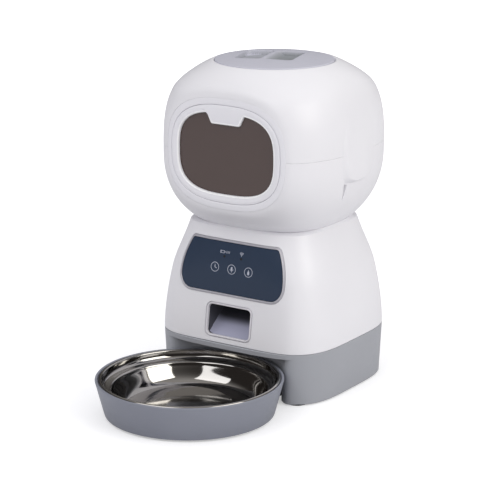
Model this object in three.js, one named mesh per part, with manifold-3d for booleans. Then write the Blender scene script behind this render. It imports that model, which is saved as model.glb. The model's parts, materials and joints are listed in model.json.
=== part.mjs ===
// Automatic pet feeder: a round food store on a leaning body, a paddle wheel that meters the kibble down a
// chute, and a round tray with a steel bowl that docks under the front lip of the base.
// Millimetres, +Z up, the front faces -Y. The model's origin is on the floor, under the middle of its box.
import * as THREE from "three";
import { mergeVertices } from "three/addons/utils/BufferGeometryUtils.js";
import Module from "manifold-3d";

const wasm = await Module();
wasm.setup();

// ---- Fits and walls ----
const seatGap = 0.3; // between two pieces that rest on each other
const runGap = 0.5; // beside a piece that turns or slides
const wall = 2.5; // moulded outer shells
const thinWall = 1.8; // moulded inner boxes
const over = 1; // how far a joined piece sinks into its neighbour, and a cut runs past a face
const beyond = 20; // how far a cutting tool runs past thicker pieces
const farAway = 400; // further than any of the model

// ---- Heights above the floor ----
const skirtBottom = 2.5;
const plateBottom = 6.5;
const plateThick = 2.5;
const skirtTop = 52;
const bodyTop = 165;
const rimRise = 5; // the body's rim stands this far above the head's lower edge
const headBottom = bodyTop - rimRise;
const headWaist = headBottom + 72; // the head's widest level
const headParting = headWaist + 8;
const headTop = headWaist + 87.8;
const lidProud = 2.8; // how far the lid's middle stands above the head
const lidTop = headTop + lidProud;

// ---- Base and body outline ----
const baseHalfWidth = 96;
const frontStep = 2.5; // how far the skirt's front stands ahead of the front plane at the outlet
const baseDraft = 2.2; // how much the skirt narrows down to its lower edge
const bodyCorner = 4; // exponent of the body's rounded-square outline
const bodyTaperPower = 1.7;
const rimGap = 1.3; // between the head and the body's rim, at the rim's top
const rimGapFront = 1.8; // the same, where the rim is flattened by the front plane
const neckLap = 4; // how far the head's lower edge stands on the body's neck ledge
const frontHeight = bodyTop - 40; // the touch keys' line on the leaning front plane
const frontSlope = 0.155;

// ---- Head ----
const headHalfWidth = 97.2;
const headHalfDepth = 98.6;
const headCorner = 3;
const headRisePower = 3.2;
const headDropWidthPower = 2.24;
const headDropDepthPower = 2.3;
const headRoundLength = 23.8; // over this much of its top the outline turns from rounded square to round
const headRoundCorner = 2.1;
const crownStepWidth = 2.2; // from the lid's edge out to the head's top edge
const crownStepDepth = 3.1;
const neckHalfWidth = 64.1; // the head's lower edge
const faceInset = 12.1; // from the head's foremost point back to its flat face
const faceDepth = headHalfDepth - faceInset;

// ---- Window in the face ----
const windowHeight = headParting + 0.7;
const windowHalfWidth = 54.3;
const windowHalfHeight = 39.3;
const windowCorner = 3;
const frameHalfWidth = windowHalfWidth + 7.7;
const frameHalfHeight = windowHalfHeight + 7.9;
const bezelHalfWidth = frameHalfWidth + 5.5;
const bezelHalfHeight = frameHalfHeight + 6.8;
const frameCorner = 2.7;
const frameThick = 2.9;
const paneThick = 1.8;
const paneLap = 3;
const flangeThick = 2;
const earTabTop = 22.5; // half widths of the tab between the window's two ear-like corners
const earTabBottom = 16;
const earTabDepth = 11;

// ---- Lid and its bayonet ----
const lidRadius = 58.6;
const lidCrown = 2;
const lidSeat = headTop - 3.5;
const sealThick = 1.7;
const sealWidth = 2.3;
const collarRadius = lidRadius - 3.1;
const collarDepth = 18;
const lidSkirtRadius = collarRadius - 3;
const lidSkirtLength = 18.5;
const lidEdge = 0.8; // the lid's small rounded edges
const lugCount = 3;
const lugAngle = 24;
const lugClearAngle = 3;
const lugHeight = 2.6;
const ledgeReach = 2.4;
const ledgeThick = 2.5;
const ledgeHeight = headTop - 17.8; // underside of the collar's ledge
const scoopDepth = 3.6;
const scoopLength = 62;
const scoopWidth = 24;
const scoopCorner = 5;
const gripHalfWidth = 7.5;

// ---- Drying box under the lid ----
const dryRadius = 24;
const dryHeight = 12;
const dryCoverThick = 2.2;
const dryPlugHeight = 4;
const drySlotCount = 4;
const drySlotHalf = 13; // half length of a slot, and half the width over them all

// ---- Food path ----
const rotorCentre = 4; // the paddle wheel's axis, behind the body's axis
const drumRadius = 40;
const drumTop = headBottom - 14;
const drumFloor = drumTop - 34;
const drumFloorThick = 2.5;
const funnelNeck = headBottom + 6; // the funnel is straight up to here, so it clears the head's neck
const funnelTop = headBottom + 36;
const funnelClear = 6.7; // between the funnel and the head's lower edge, front and back
const funnelGap = 5.2; // between the funnel's top edge and the head's nearest wall
const hubRadius = 9;
const hubDrop = 3; // from the drum's top down to the hub's
const vaneCount = 6;
const vaneThick = 2.2;
const vaneHeight = 25;
const shaftRadius = 3;
const shaftGrip = 3; // how far the hub and the shaft's end stay apart from the hub's top
const bushWall = 2;
const bushFlange = 1.5;
const dropNear = 19.5; // the drop hole's inner and outer radius
const dropFar = drumRadius - 1.5;
const dropHalfAngle = 34;
const stirrerHeight = 26;
const stirrerHalfWidth = 22;
const stirrerArm = 2;

// ---- Drive ----
const gearModule = 4 / 3;
const wheelTeeth = 24;
const pinionTeeth = 12;
const toothAddendum = 0.7;
const toothDedendum = 1.2;
const toothBacklash = 0.12; // taken off each flank
const pressureAngle = 25;
const gearBottom = drumFloor - 14;
const gearThick = 7;
const motorShaftRadius = 2.4;
const gearboxRadius = 18.5;
const motorRadius = 14;
const gearboxTop = gearBottom - 2;
const gearboxBottom = gearboxTop - 19;
const motorShaftDepth = 6; // how far the motor's shaft reaches into the gearbox
const postRadius = 4;
const postDirections = [-20, 43, 137, 200]; // where the drum's posts stand, clear of the motor and the chute
const sensorHalfWidth = 5;
const sensorDepth = 8;
const sensorHeight = 16;
const sensorPlate = 2.5;

// ---- Chute ----
const chuteHalfWidth = 24;
const chuteWall = 2;
const chuteKnee = 12; // height and length of the slope over the outlet
const chuteSteps = 8;
const outletLow = 57;
const outletHigh = 90;
const outletRim = 3.3;
const outletCorner = 6;
const outletProud = 0.8;

// ---- Control panel, measured along the leaning front plane ----
const panelTop = 28.3;
const panelWaist = -10;
const panelBottom = -24.3;
const panelHalfTop = 47.5;
const panelHalfWaist = 58.5;
const panelCornerWidth = 12;
const panelThick = 2;
const panelProud = 0.4;
const bezelWidth = 3;
const bezelProud = 1.2;
const keyPitch = 19.5;
const keyRadius = 4.6;
const keyCount = 3;
const keySpringWall = 1.2;
const boardBack = 9.6;
const boardThick = 1.6;
const boardHalfWidth = 44;
const boardHalfHeight = 20;
const lampRise = 11.5; // the lamps' distance up the plane from the keys
const lampRadius = 1.4;
const microphoneX = 34;
const microphoneRise = -8;
const microphoneRadius = 3;
const microphoneHeight = 2.2;

// ---- Tray and bowl ----
const trayRimRadius = 90;
const trayCentre = trayRimRadius + 57; // ahead of the body's axis
const trayFootRadius = trayRimRadius - 8.5;
const trayHeight = 36;
const trayFloor = 2;
const trayWall = 2.4;
const trayEdge = 1; // the rim's small bevel
const trayBracket = 4; // height of the slope under the bowl's ledge
const trayCorner = 3;
const trayFootWidth = 4;
const trayFootInset = 8;
const bowlRimRadius = trayRimRadius - 3.2;
const bowlRimHeight = 36.8;
const bowlRimDepth = 4.2; // from the rim's height down to the tray's ledge
const bowlRollRadius = 1.8;
const bowlFloorRadius = bowlRimRadius - 29.8;
const bowlStepRadius = 13; // from the floor's edge in to its raised disc
const bowlStepHeight = 1.5;
const bowlSheet = 1;
const bowlFloor = 7;
const bowlSteepness = 15; // how far down its upper wall stays steep
const recessGap = 3; // between the tray's rim and the recess wall
const recessTop = 47;
const shelfHalf = 56; // half width of the base plate's shelf under the recess
const shelfLip = 8; // how far that shelf reaches into the recess
const dockHalfWidth = 22;
const dockThick = 4;
const dockReach = 40; // how near to the body's axis the tray's tongue comes

// ---- Batteries ----
const cellRadius = 17.1;
const cellLength = 61.5;
const cellPitch = 2 * cellRadius + 0.4;
const cellCount = 3;
const cellNub = 4.5;
const cellNubLength = 1.5;
const cellLift = 1.2; // above the base plate
const cellHeight = plateBottom + plateThick + cellLift + cellRadius;
const bayFront = -38;
const bayTop = cellHeight + cellRadius + thinWall + 0.8;
const bayEndRoom = 2; // for the contacts at each end of the cells
const doorThick = 2.2;
const doorLap = 3;
const railThick = 2.5;
const railLip = 0.9;
const doorBottom = 4;
const gripPitch = 4;
const gripDepth = 0.8;
const contactThick = 0.6;
const contactHalfHeight = 8;
const contactSpringRadius = 6;
const contactDomeRadius = 4.5;

// ---- Fasteners, feet and fittings ----
const footInset = 12.7; // from the base outline's corner in to the foot, both ways
const footRadius = 7.5;
const footNeck = 3;
const screwFrontStep = 22; // from the feet in to the base screws, front and back
const screwBackStep = 14;
const screwSideStep = 7.3; // from the middle of the room beside the batteries
const screwRadius = 1.5;
const screwLength = 17;
const screwHeadRadius = 3.4;
const screwHeadHeight = 2;
const driveRadius = 1.2;
const bossRadius = 4.5;
const skirtLedge = 3.5; // how far the skirt's two inner ledges reach in
const deckGap = 1; // around the chassis deck
const deckThick = 2.5;
const wireHoleRadius = 7;
const socketHeight = 28;
const socketRadius = 4.6;
const socketBore = 3;
const socketPin = 1;
const socketHalfWidth = 7;
const socketHalfHeight = 8;
const socketDepth = 12;
const speakerRadius = 17;
const speakerHeight = 100;
const speakerDepth = 11;
const speakerRing = 3;
const slotCount = 5;
const slotPitch = 6;
const slotHalfHeight = 9;
const earCentreHeight = headParting + 5;
const earHalfWidth = 30;
const earHalfHeight = 36;
const earCorner = 2.5;
const earProud = 3.2;
const earLevels = [-45, -36, -23, -5, 13, 29, 43]; // heights of its facets about its centre

// ---- Facets ----
const outlineSteps = 36;
const windowSteps = 28;
const roundSteps = 28;
const bowlSteps = 32;
const smallSteps = 10;

// ======== Solids from three.js geometry ========

function solidOf(geometry) {
  const bare = geometry.index ? geometry.toNonIndexed() : geometry.clone();
  bare.deleteAttribute("normal");
  bare.deleteAttribute("uv");
  const merged = mergeVertices(bare, 1e-4);
  const vertProperties = merged.attributes.position.array;
  const triVerts = new Uint32Array(merged.index.array);
  const made = new wasm.Manifold(new wasm.Mesh({ numProp: 3, vertProperties, triVerts }));
  if (made.volume() > 0) return made;
  for (let i = 0; i < triVerts.length; i += 3) {
    const first = triVerts[i];
    triVerts[i] = triVerts[i + 1];
    triVerts[i + 1] = first;
  }
  return new wasm.Manifold(new wasm.Mesh({ numProp: 3, vertProperties, triVerts }));
}

function geometryOf(solid) {
  const mesh = solid.getMesh();
  const positions = new Float32Array(mesh.numVert * 3);
  for (let i = 0; i < mesh.numVert; i++) {
    const from = i * mesh.numProp;
    positions.set(mesh.vertProperties.subarray(from, from + 3), i * 3);
  }
  const geometry = new THREE.BufferGeometry();
  geometry.setAttribute("position", new THREE.BufferAttribute(positions, 3));
  geometry.setIndex(new THREE.BufferAttribute(mesh.triVerts, 1));
  return geometry.toNonIndexed();
}

const joined = (...solids) => solids.reduce((sum, solid) => sum.add(solid));
const cut = (solid, ...tools) => tools.reduce((rest, tool) => rest.subtract(tool), solid);

function block(x0, x1, y0, y1, z0, z1) {
  const geometry = new THREE.BoxGeometry(x1 - x0, y1 - y0, z1 - z0);
  return solidOf(geometry.translate((x0 + x1) / 2, (y0 + y1) / 2, (z0 + z1) / 2));
}

// A round bar or cone between two points.
function rod(from, to, radius, steps = smallSteps, endRadius = radius) {
  const start = new THREE.Vector3(...from);
  const along = new THREE.Vector3(...to).sub(start);
  const geometry = new THREE.CylinderGeometry(endRadius, radius, along.length(), steps);
  const turn = new THREE.Quaternion();
  turn.setFromUnitVectors(new THREE.Vector3(0, 1, 0), along.clone().normalize());
  geometry.applyQuaternion(turn);
  const middle = start.addScaledVector(along, 0.5);
  return solidOf(geometry.translate(middle.x, middle.y, middle.z));
}

// A profile of [radius, height] points turned about a vertical axis at x, y.
function turned(profile, x = 0, y = 0, steps = roundSteps) {
  const points = profile.map(([radius, height]) => new THREE.Vector2(radius, height));
  const geometry = new THREE.LatheGeometry(points, steps);
  return solidOf(geometry.rotateX(Math.PI / 2).translate(x, y, 0));
}

// A closed skin over rings that hold the same number of points, with a fan over each end.
function loft(rings) {
  const positions = [];
  const count = rings[0].length;
  const middle = (ring) => ring.reduce((sum, p) => sum.add(p), new THREE.Vector3()).divideScalar(count);
  const triangle = (a, b, c) => positions.push(...a.toArray(), ...b.toArray(), ...c.toArray());
  const bottom = middle(rings[0]);
  const top = middle(rings[rings.length - 1]);
  for (let i = 0; i < count; i++) {
    const j = (i + 1) % count;
    triangle(bottom, rings[0][j], rings[0][i]);
    triangle(top, rings[rings.length - 1][i], rings[rings.length - 1][j]);
    for (let k = 0; k + 1 < rings.length; k++) {
      triangle(rings[k][i], rings[k][j], rings[k + 1][j]);
      triangle(rings[k][i], rings[k + 1][j], rings[k + 1][i]);
    }
  }
  const geometry = new THREE.BufferGeometry();
  geometry.setAttribute("position", new THREE.Float32BufferAttribute(positions, 3));
  return solidOf(geometry);
}

// A rounded-square outline |x/a|^n + |y/b|^n = 1 as points around a circle of directions.
function superellipse(halfX, halfY, corner, steps = outlineSteps) {
  const points = [];
  for (let i = 0; i < steps; i++) {
    const angle = (2 * Math.PI * i) / steps;
    const across = Math.abs(Math.cos(angle) / halfX) ** corner;
    const radius = (across + Math.abs(Math.sin(angle) / halfY) ** corner) ** (-1 / corner);
    points.push(new THREE.Vector2(radius * Math.cos(angle), radius * Math.sin(angle)));
  }
  return points;
}

// That outline at a height.
function ring(halfX, halfY, corner, height) {
  return superellipse(halfX, halfY, corner).map((p) => new THREE.Vector3(p.x, p.y, height));
}

function roundedRectangle(halfX, halfY, radius, cornerSteps = 4) {
  const points = [];
  for (let quarter = 0; quarter < 4; quarter++) {
    const sideX = quarter === 0 || quarter === 3 ? 1 : -1;
    const sideY = quarter < 2 ? 1 : -1;
    for (let i = 0; i <= cornerSteps; i++) {
      const angle = (Math.PI / 2) * (quarter + i / cornerSteps);
      const x = sideX * (halfX - radius) + radius * Math.cos(angle);
      const y = sideY * (halfY - radius) + radius * Math.sin(angle);
      points.push(new THREE.Vector2(x, y));
    }
  }
  return points;
}

const circle = (radius, steps = smallSteps) => superellipse(radius, radius, 2, steps);
const moved = (points, x, y) => points.map((p) => new THREE.Vector2(p.x + x, p.y + y));

// An outline pushed from one depth to another along the third axis of a plane.
function slab(points, from, to, plane = new THREE.Matrix4()) {
  const settings = { depth: to - from, bevelEnabled: false };
  const geometry = new THREE.ExtrudeGeometry(new THREE.Shape(points), settings);
  return solidOf(geometry.translate(0, 0, from).applyMatrix4(plane));
}

// Planes to draw on: x stays across the model, y runs up the plane, and depth is out of the model.
function plane(origin, up) {
  const across = new THREE.Vector3(1, 0, 0);
  const rise = new THREE.Vector3(...up).normalize();
  const basis = new THREE.Matrix4().makeBasis(across, rise, across.clone().cross(rise));
  return basis.setPosition(...origin);
}

// What lies ahead of a plane, further out than depth.
function aheadOf(front, depth) {
  const square = roundedRectangle(farAway, farAway, over, 1);
  return slab(square, depth, farAway, front);
}

// Side profile [y, z] points pushed across the model between two x values.
function sideSlab(profile, x0, x1) {
  const points = profile.map(([y, z]) => new THREE.Vector2(y, z));
  const across = new THREE.Matrix4().makeBasis(
    new THREE.Vector3(0, 1, 0),
    new THREE.Vector3(0, 0, 1),
    new THREE.Vector3(1, 0, 0),
  );
  return slab(points, x0, x1, across);
}

function levels(from, to, count) {
  return Array.from({ length: count }, (_, i) => from + ((to - from) * i) / (count - 1));
}

const radians = THREE.MathUtils.degToRad;

// ======== Outer surfaces ========

// The reach of a superelliptic profile that has narrowed to a share of its width after a length.
const reachFor = (length, share, power) => length / (1 - share ** power) ** (1 / power);

// The share of its width that such a profile still has after a length.
function shareAt(length, reach, power) {
  const along = Math.min(length / reach, 1);
  return (1 - along ** power) ** (1 / power);
}

const neckHalfDepth = rotorCentre + drumRadius + 2 * wall + funnelClear;
const crownHalfWidth = lidRadius + crownStepWidth;
const crownHalfDepth = lidRadius + crownStepDepth;
const headDrop = headWaist - headBottom;
const headRise = headTop - headWaist;
const dropWidth = reachFor(headDrop, neckHalfWidth / headHalfWidth, headDropWidthPower);
const dropDepth = reachFor(headDrop, neckHalfDepth / headHalfDepth, headDropDepthPower);
const riseWidth = reachFor(headRise, crownHalfWidth / headHalfWidth, headRisePower);
const riseDepth = reachFor(headRise, crownHalfDepth / headHalfDepth, headRisePower);

// The head's half width and half depth at a height, moved inwards by inset (outwards where negative).
function headHalves(z, inset) {
  const length = Math.abs(z - headWaist);
  const above = z > headWaist;
  const shareX = above
    ? shareAt(length, riseWidth - inset, headRisePower)
    : shareAt(length, dropWidth - inset, headDropWidthPower);
  const shareY = above
    ? shareAt(length, riseDepth - inset, headRisePower)
    : shareAt(length, dropDepth - inset, headDropDepthPower);
  return [(headHalfWidth - inset) * shareX, (headHalfDepth - inset) * shareY];
}

// The face is a stack of frame, pane and flange, so its wall is thicker than the rest.
const facePlane = plane([0, -faceDepth, windowHeight], [0, 0, 1]);
const frameStack = frameThick + paneThick + flangeThick + 2 * seatGap;
const innerInset = wall + 0.01; // past the wall, where the face's stack takes over

function headRing(z, inset) {
  const roundness = THREE.MathUtils.clamp(1 - (headTop - z) / headRoundLength, 0, 1);
  const corner = THREE.MathUtils.lerp(headCorner, headRoundCorner, roundness);
  return ring(...headHalves(z, inset), corner, z);
}

function headLoft(heights, inset) {
  const depth = inset > wall ? -frameStack : Math.max(-inset, 0);
  return cut(loft(heights.map((z) => headRing(z, inset))), aheadOf(facePlane, depth));
}

const between = (from, to) => (share) => THREE.MathUtils.lerp(from, to, share);
const headLower = [0, 0.1, 0.22, 0.38, 0.58, 1].map(between(headBottom, headParting));
const headUpper = [0, 0.3, 0.54, 0.71, 0.85, 0.94, 1].map(between(headParting, headTop));

// The leaning front plane clears the head at the rim's top.
const [rimInnerWidth, rimInnerDepth] = headHalves(bodyTop, 0);
const frontDepth = rimInnerDepth + rimGapFront + wall + frontSlope * (bodyTop - frontHeight);
const frontPlane = plane([0, -frontDepth, frontHeight], [0, frontSlope, 1]);
const frontScale = Math.hypot(1, frontSlope); // length along the leaning front per unit of height

// How far the front plane lies ahead of the axis at a height.
const frontAt = (z) => frontDepth - frontSlope * (z - frontHeight);

// The skirt reaches past the front plane at the outlet, and the body's rim clears the head.
const baseHalfDepth = frontAt(outletLow) + frontStep;
const depthRatio = baseHalfDepth / baseHalfWidth;
const rimHalfWidth = Math.max(rimInnerWidth + rimGap + wall, (rimInnerDepth + rimGap + wall) / depthRatio);
const bodyTaperLength = reachFor(bodyTop - skirtTop, rimHalfWidth / baseHalfWidth, bodyTaperPower);

function bodyHalf(z) {
  if (z < skirtTop) return baseHalfWidth - (baseDraft * (skirtTop - z)) / (skirtTop - skirtBottom);
  return baseHalfWidth * shareAt(z - skirtTop, bodyTaperLength, bodyTaperPower);
}

function bodyRing(z, inset) {
  const half = bodyHalf(z);
  return ring(half - inset, half * depthRatio - inset, bodyCorner, z);
}

const bodyLoft = (heights, inset) =>
  cut(loft(heights.map((z) => bodyRing(z, inset))), aheadOf(frontPlane, -inset));

// ======== Head ========

const windowOutline = (grow) =>
  superellipse(windowHalfWidth + grow, windowHalfHeight + grow, windowCorner, windowSteps);
const frameOutline = (grow) =>
  superellipse(frameHalfWidth + grow, frameHalfHeight + grow, frameCorner, windowSteps);
const bezelOutline = (grow) =>
  superellipse(bezelHalfWidth + grow, bezelHalfHeight + grow, frameCorner, windowSteps);

// Both head shells get the seat of the face bezel, and an opening behind the pane.
function faceCuts(shell) {
  const seat = slab(bezelOutline(seatGap), flangeThick - frameStack, beyond, facePlane);
  const opening = slab(windowOutline(seatGap), -beyond, beyond, facePlane);
  return cut(shell, seat, opening);
}

function headLowerShell() {
  const heights = headLower.with(-1, headParting - seatGap / 2);
  const inner = headLoft([headBottom, ...heights.slice(1, -1), headParting + wall], innerInset);
  const [mouthX, mouthY] = headHalves(headBottom, innerInset);
  const mouth = slab(superellipse(mouthX, mouthY, headCorner), headBottom - over, headBottom + over);
  return faceCuts(cut(headLoft(heights, 0), inner, mouth));
}

// A ring sector between two radii, centred on a direction.
function sector(inner, outer, middle, halfAngle, z0, z1, y = 0) {
  const points = [];
  const steps = Math.max(3, Math.round(halfAngle / 5));
  for (let i = 0; i <= steps; i++) {
    const angle = radians(middle - halfAngle + (2 * halfAngle * i) / steps);
    points.push(new THREE.Vector2(outer * Math.cos(angle), outer * Math.sin(angle) + y));
  }
  for (let i = steps; i >= 0; i--) {
    const angle = radians(middle - halfAngle + (2 * halfAngle * i) / steps);
    points.push(new THREE.Vector2(inner * Math.cos(angle), inner * Math.sin(angle) + y));
  }
  return slab(points, z0, z1);
}

const lidHole = lidRadius + runGap;
const sealSeat = lidSeat - sealThick - 2 * seatGap;
const lugDirections = Array.from({ length: lugCount }, (_, i) => 90 + (360 * i) / lugCount);

function headUpperShell() {
  const heights = headUpper.with(0, headParting + seatGap / 2);
  const innerTop = headTop - wall;
  const inner = headLoft([headParting - wall, ...heights.slice(1, -1), innerTop], innerInset);
  const shell = cut(headLoft(heights, 0), inner);
  const collarBottom = headTop - collarDepth - wall;
  const collarOuter = collarRadius + wall;
  const collar = turned([
    [0, collarBottom],
    [collarOuter, collarBottom],
    [collarOuter, sealSeat - wall],
    [lidHole + over, sealSeat - over],
    [lidHole + over, headTop - over],
    [0, headTop - over],
  ]);
  const bore = turned([
    [0, collarBottom - over],
    [collarRadius, collarBottom - over],
    [collarRadius, sealSeat],
    [lidHole, sealSeat],
    [lidHole, headTop + over],
    [0, headTop + over],
  ]);
  const ledge = turned([
    [collarRadius - ledgeReach, ledgeHeight],
    [collarRadius + over, ledgeHeight],
    [collarRadius + over, ledgeHeight + ledgeThick],
    [collarRadius - ledgeReach, ledgeHeight + ledgeThick],
    [collarRadius - ledgeReach, ledgeHeight],
  ]);
  const notches = lugDirections.map((direction) =>
    sector(
      collarRadius - ledgeReach - over,
      collarRadius,
      direction,
      lugAngle / 2 + lugClearAngle,
      ledgeHeight - over,
      ledgeHeight + ledgeThick + over,
    ),
  );
  const open = cut(joined(shell, collar), bore);
  return faceCuts(joined(open, cut(ledge, ...notches)));
}

function faceBezel() {
  const outer = slab(bezelOutline(0), flangeThick - frameStack + seatGap, 0, facePlane);
  return cut(outer, slab(frameOutline(seatGap), -beyond, beyond, facePlane));
}

// The window frame, with a tab at its top that leaves two ear-like corners in the window.
function windowFrame() {
  const tabTop = windowHalfHeight + 2 * over;
  const tabLow = windowHalfHeight - earTabDepth;
  const tab = [
    new THREE.Vector2(-earTabTop, tabTop),
    new THREE.Vector2(-earTabBottom, tabLow),
    new THREE.Vector2(earTabBottom, tabLow),
    new THREE.Vector2(earTabTop, tabTop),
  ];
  const plate = slab(frameOutline(0), -frameThick, 0, facePlane);
  const open = cut(plate, slab(windowOutline(0), -beyond, beyond, facePlane));
  return joined(open, slab(tab, -frameThick, 0, facePlane));
}

function windowPane() {
  const back = -frameThick - seatGap - paneThick;
  return slab(windowOutline(paneLap), back, back + paneThick, facePlane);
}

// A side ear: a lobe a few millimetres proud of the head, with the head's own curvature.
function sideEar(side) {
  const heights = earLevels.map((rise) => earCentreHeight + rise);
  const proud = cut(headLoft(heights, -earProud), headLoft(heights, -seatGap));
  const outline = superellipse(earHalfWidth, earHalfHeight, earCorner, 24);
  const profile = outline.map((p) => [p.x, p.y + earCentreHeight]);
  const reach = headHalfWidth + beyond;
  const across = side > 0 ? sideSlab(profile, beyond, reach) : sideSlab(profile, -reach, -beyond);
  return proud.intersect(across);
}

// ======== Lid ========

function lidCap() {
  const edge = lidTop - lidCrown;
  const dome = turned([
    [0, lidSeat],
    [lidRadius - lidEdge, lidSeat],
    [lidRadius, lidSeat + lidEdge],
    [lidRadius, edge - lidEdge],
    [lidRadius - lidEdge, edge],
    ...[0.7, 0.35].map((share) => [lidRadius * share, edge + lidCrown * (1 - share ** 2)]),
    [0, lidTop],
  ]);
  const skirtBottomZ = lidSeat - lidSkirtLength;
  const skirt = turned([
    [lidSkirtRadius - wall, skirtBottomZ],
    [lidSkirtRadius, skirtBottomZ],
    [lidSkirtRadius, lidSeat + over],
    [lidSkirtRadius - wall, lidSeat + over],
    [lidSkirtRadius - wall, skirtBottomZ],
  ]);
  const lugTop = ledgeHeight - seatGap;
  const lugOuter = collarRadius * Math.cos(Math.PI / roundSteps) - seatGap;
  const lugs = lugDirections.map((direction) =>
    sector(lidSkirtRadius - over, lugOuter, direction, lugAngle / 2, lugTop - lugHeight, lugTop),
  );
  const scoopFloor = lidTop - scoopDepth;
  const scoop = roundedRectangle(scoopWidth / 2, scoopLength / 2, scoopCorner);
  const scoopX = gripHalfWidth + scoopWidth / 2;
  const scoops = [-scoopX, scoopX].map((x) => slab(moved(scoop, x, 0), scoopFloor, lidTop + over));
  return cut(joined(dome, skirt, ...lugs), ...scoops);
}

function lidSeal() {
  const inner = lidHole - runGap - sealWidth;
  const low = lidSeat - seatGap - sealThick;
  return turned([
    [inner, low],
    [inner + sealWidth, low],
    [inner + sealWidth, low + sealThick],
    [inner, low + sealThick],
    [inner, low],
  ]);
}

const dryTop = lidSeat - seatGap;
const dryBottom = dryTop - dryHeight;

function dryingBox() {
  return turned([
    [0, dryTop],
    [dryRadius, dryTop],
    [dryRadius, dryBottom],
    [dryRadius - thinWall, dryBottom],
    [dryRadius - thinWall, dryTop - thinWall],
    [0, dryTop - thinWall],
  ]);
}

function dryingCover() {
  const top = dryBottom - seatGap;
  const plugRadius = dryRadius - thinWall - seatGap;
  const cover = turned([
    [0, top - dryCoverThick],
    [dryRadius, top - dryCoverThick],
    [dryRadius, top],
    [plugRadius, top],
    [plugRadius, top + dryPlugHeight],
    [plugRadius - thinWall, top + dryPlugHeight],
    [plugRadius - thinWall, top],
    [0, top],
  ]);
  const slots = levels(-drySlotHalf, drySlotHalf, drySlotCount).map((y) =>
    block(-drySlotHalf, drySlotHalf, y - 1, y + 1, top - beyond, top + over),
  );
  return cut(cover, ...slots);
}

// ======== Food path ========

function hopperFunnel() {
  const [halfX, halfY] = headHalves(funnelTop, wall);
  const faceRoom = faceDepth - frameStack + rotorCentre;
  const funnelRadius = Math.min(halfX, halfY - rotorCentre, faceRoom) - funnelGap;
  const low = drumTop + seatGap;
  const throat = drumRadius - 1; // a small drip edge over the drum's wall
  return turned(
    [
      [throat, low],
      [drumRadius + wall, low],
      [drumRadius + wall, funnelNeck],
      [funnelRadius, funnelTop - wall],
      [funnelRadius, funnelTop],
      [funnelRadius - wall, funnelTop],
      [throat, funnelNeck + thinWall],
      [throat, low],
    ],
    0,
    rotorCentre,
  );
}

const dropHole = (z0, z1) => sector(dropNear, dropFar, -90, dropHalfAngle, z0, z1, rotorCentre);

// A bar along the paddle wheel's axis through everything under the hub's cap.
const axle = (radius, y = rotorCentre) => rod([0, y, 0], [0, y, hubTop - shaftGrip], radius);

function paddleDrum() {
  const top = drumFloor + drumFloorThick;
  const cup = turned(
    [
      [0, drumFloor],
      [drumRadius + wall, drumFloor],
      [drumRadius + wall, drumTop],
      [drumRadius, drumTop],
      [drumRadius, top],
      [0, top],
    ],
    0,
    rotorCentre,
  );
  return cut(cup, dropHole(drumFloor - over, top + over), axle(shaftRadius + bushWall + seatGap));
}

function shaftBush() {
  const top = drumFloor + drumFloorThick;
  const flangeTop = drumFloor - seatGap;
  return turned(
    [
      [shaftRadius + seatGap, flangeTop - bushFlange],
      [shaftRadius + 2 * bushWall, flangeTop - bushFlange],
      [shaftRadius + 2 * bushWall, flangeTop],
      [shaftRadius + bushWall, flangeTop],
      [shaftRadius + bushWall, top],
      [shaftRadius + seatGap, top],
      [shaftRadius + seatGap, flangeTop - bushFlange],
    ],
    0,
    rotorCentre,
    smallSteps,
  );
}

const wheelBottom = drumFloor + drumFloorThick + runGap;
const hubTop = drumTop - hubDrop;

function paddleWheel() {
  const vaneReach = drumRadius - 2 * runGap;
  let wheel = rod([0, rotorCentre, wheelBottom], [0, rotorCentre, hubTop], hubRadius, 20);
  for (let i = 0; i < vaneCount; i++) {
    const vane = slab(
      [
        new THREE.Vector2(hubRadius - 2 * over, -vaneThick / 2),
        new THREE.Vector2(vaneReach, -vaneThick / 2),
        new THREE.Vector2(vaneReach, vaneThick / 2),
        new THREE.Vector2(hubRadius - 2 * over, vaneThick / 2),
      ],
      wheelBottom,
      wheelBottom + vaneHeight,
      new THREE.Matrix4().makeRotationZ((2 * Math.PI * i) / vaneCount).setPosition(0, rotorCentre, 0),
    );
    wheel = wheel.add(vane);
  }
  return cut(wheel, axle(shaftRadius + seatGap));
}

const rotorShaft = () =>
  rod([0, rotorCentre, gearBottom - 2], [0, rotorCentre, hubTop - shaftGrip - seatGap], shaftRadius);

// A stirring arm on top of the paddle wheel that keeps the kibble from bridging in the funnel.
function stirrer() {
  const low = hubTop + seatGap;
  const high = low + stirrerHeight;
  const barHeight = low + (2 * stirrerHeight) / 3;
  const armX = stirrerHalfWidth - stirrerArm;
  const upright = (x, z0, z1, radius, topRadius) =>
    rod([x, rotorCentre, z0], [x, rotorCentre, z1], radius, smallSteps, topRadius);
  const hub = upright(0, low, low + 2 * stirrerArm, hubRadius);
  const post = upright(0, low + stirrerArm, high, 2 * stirrerArm, 1.5 * stirrerArm);
  const bar = rod(
    [-stirrerHalfWidth, rotorCentre, barHeight],
    [stirrerHalfWidth, rotorCentre, barHeight],
    stirrerArm,
  );
  const ends = [-armX, armX].map((x) => upright(x, barHeight - over, high - over, stirrerArm));
  return joined(hub, post, bar, ...ends);
}

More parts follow.
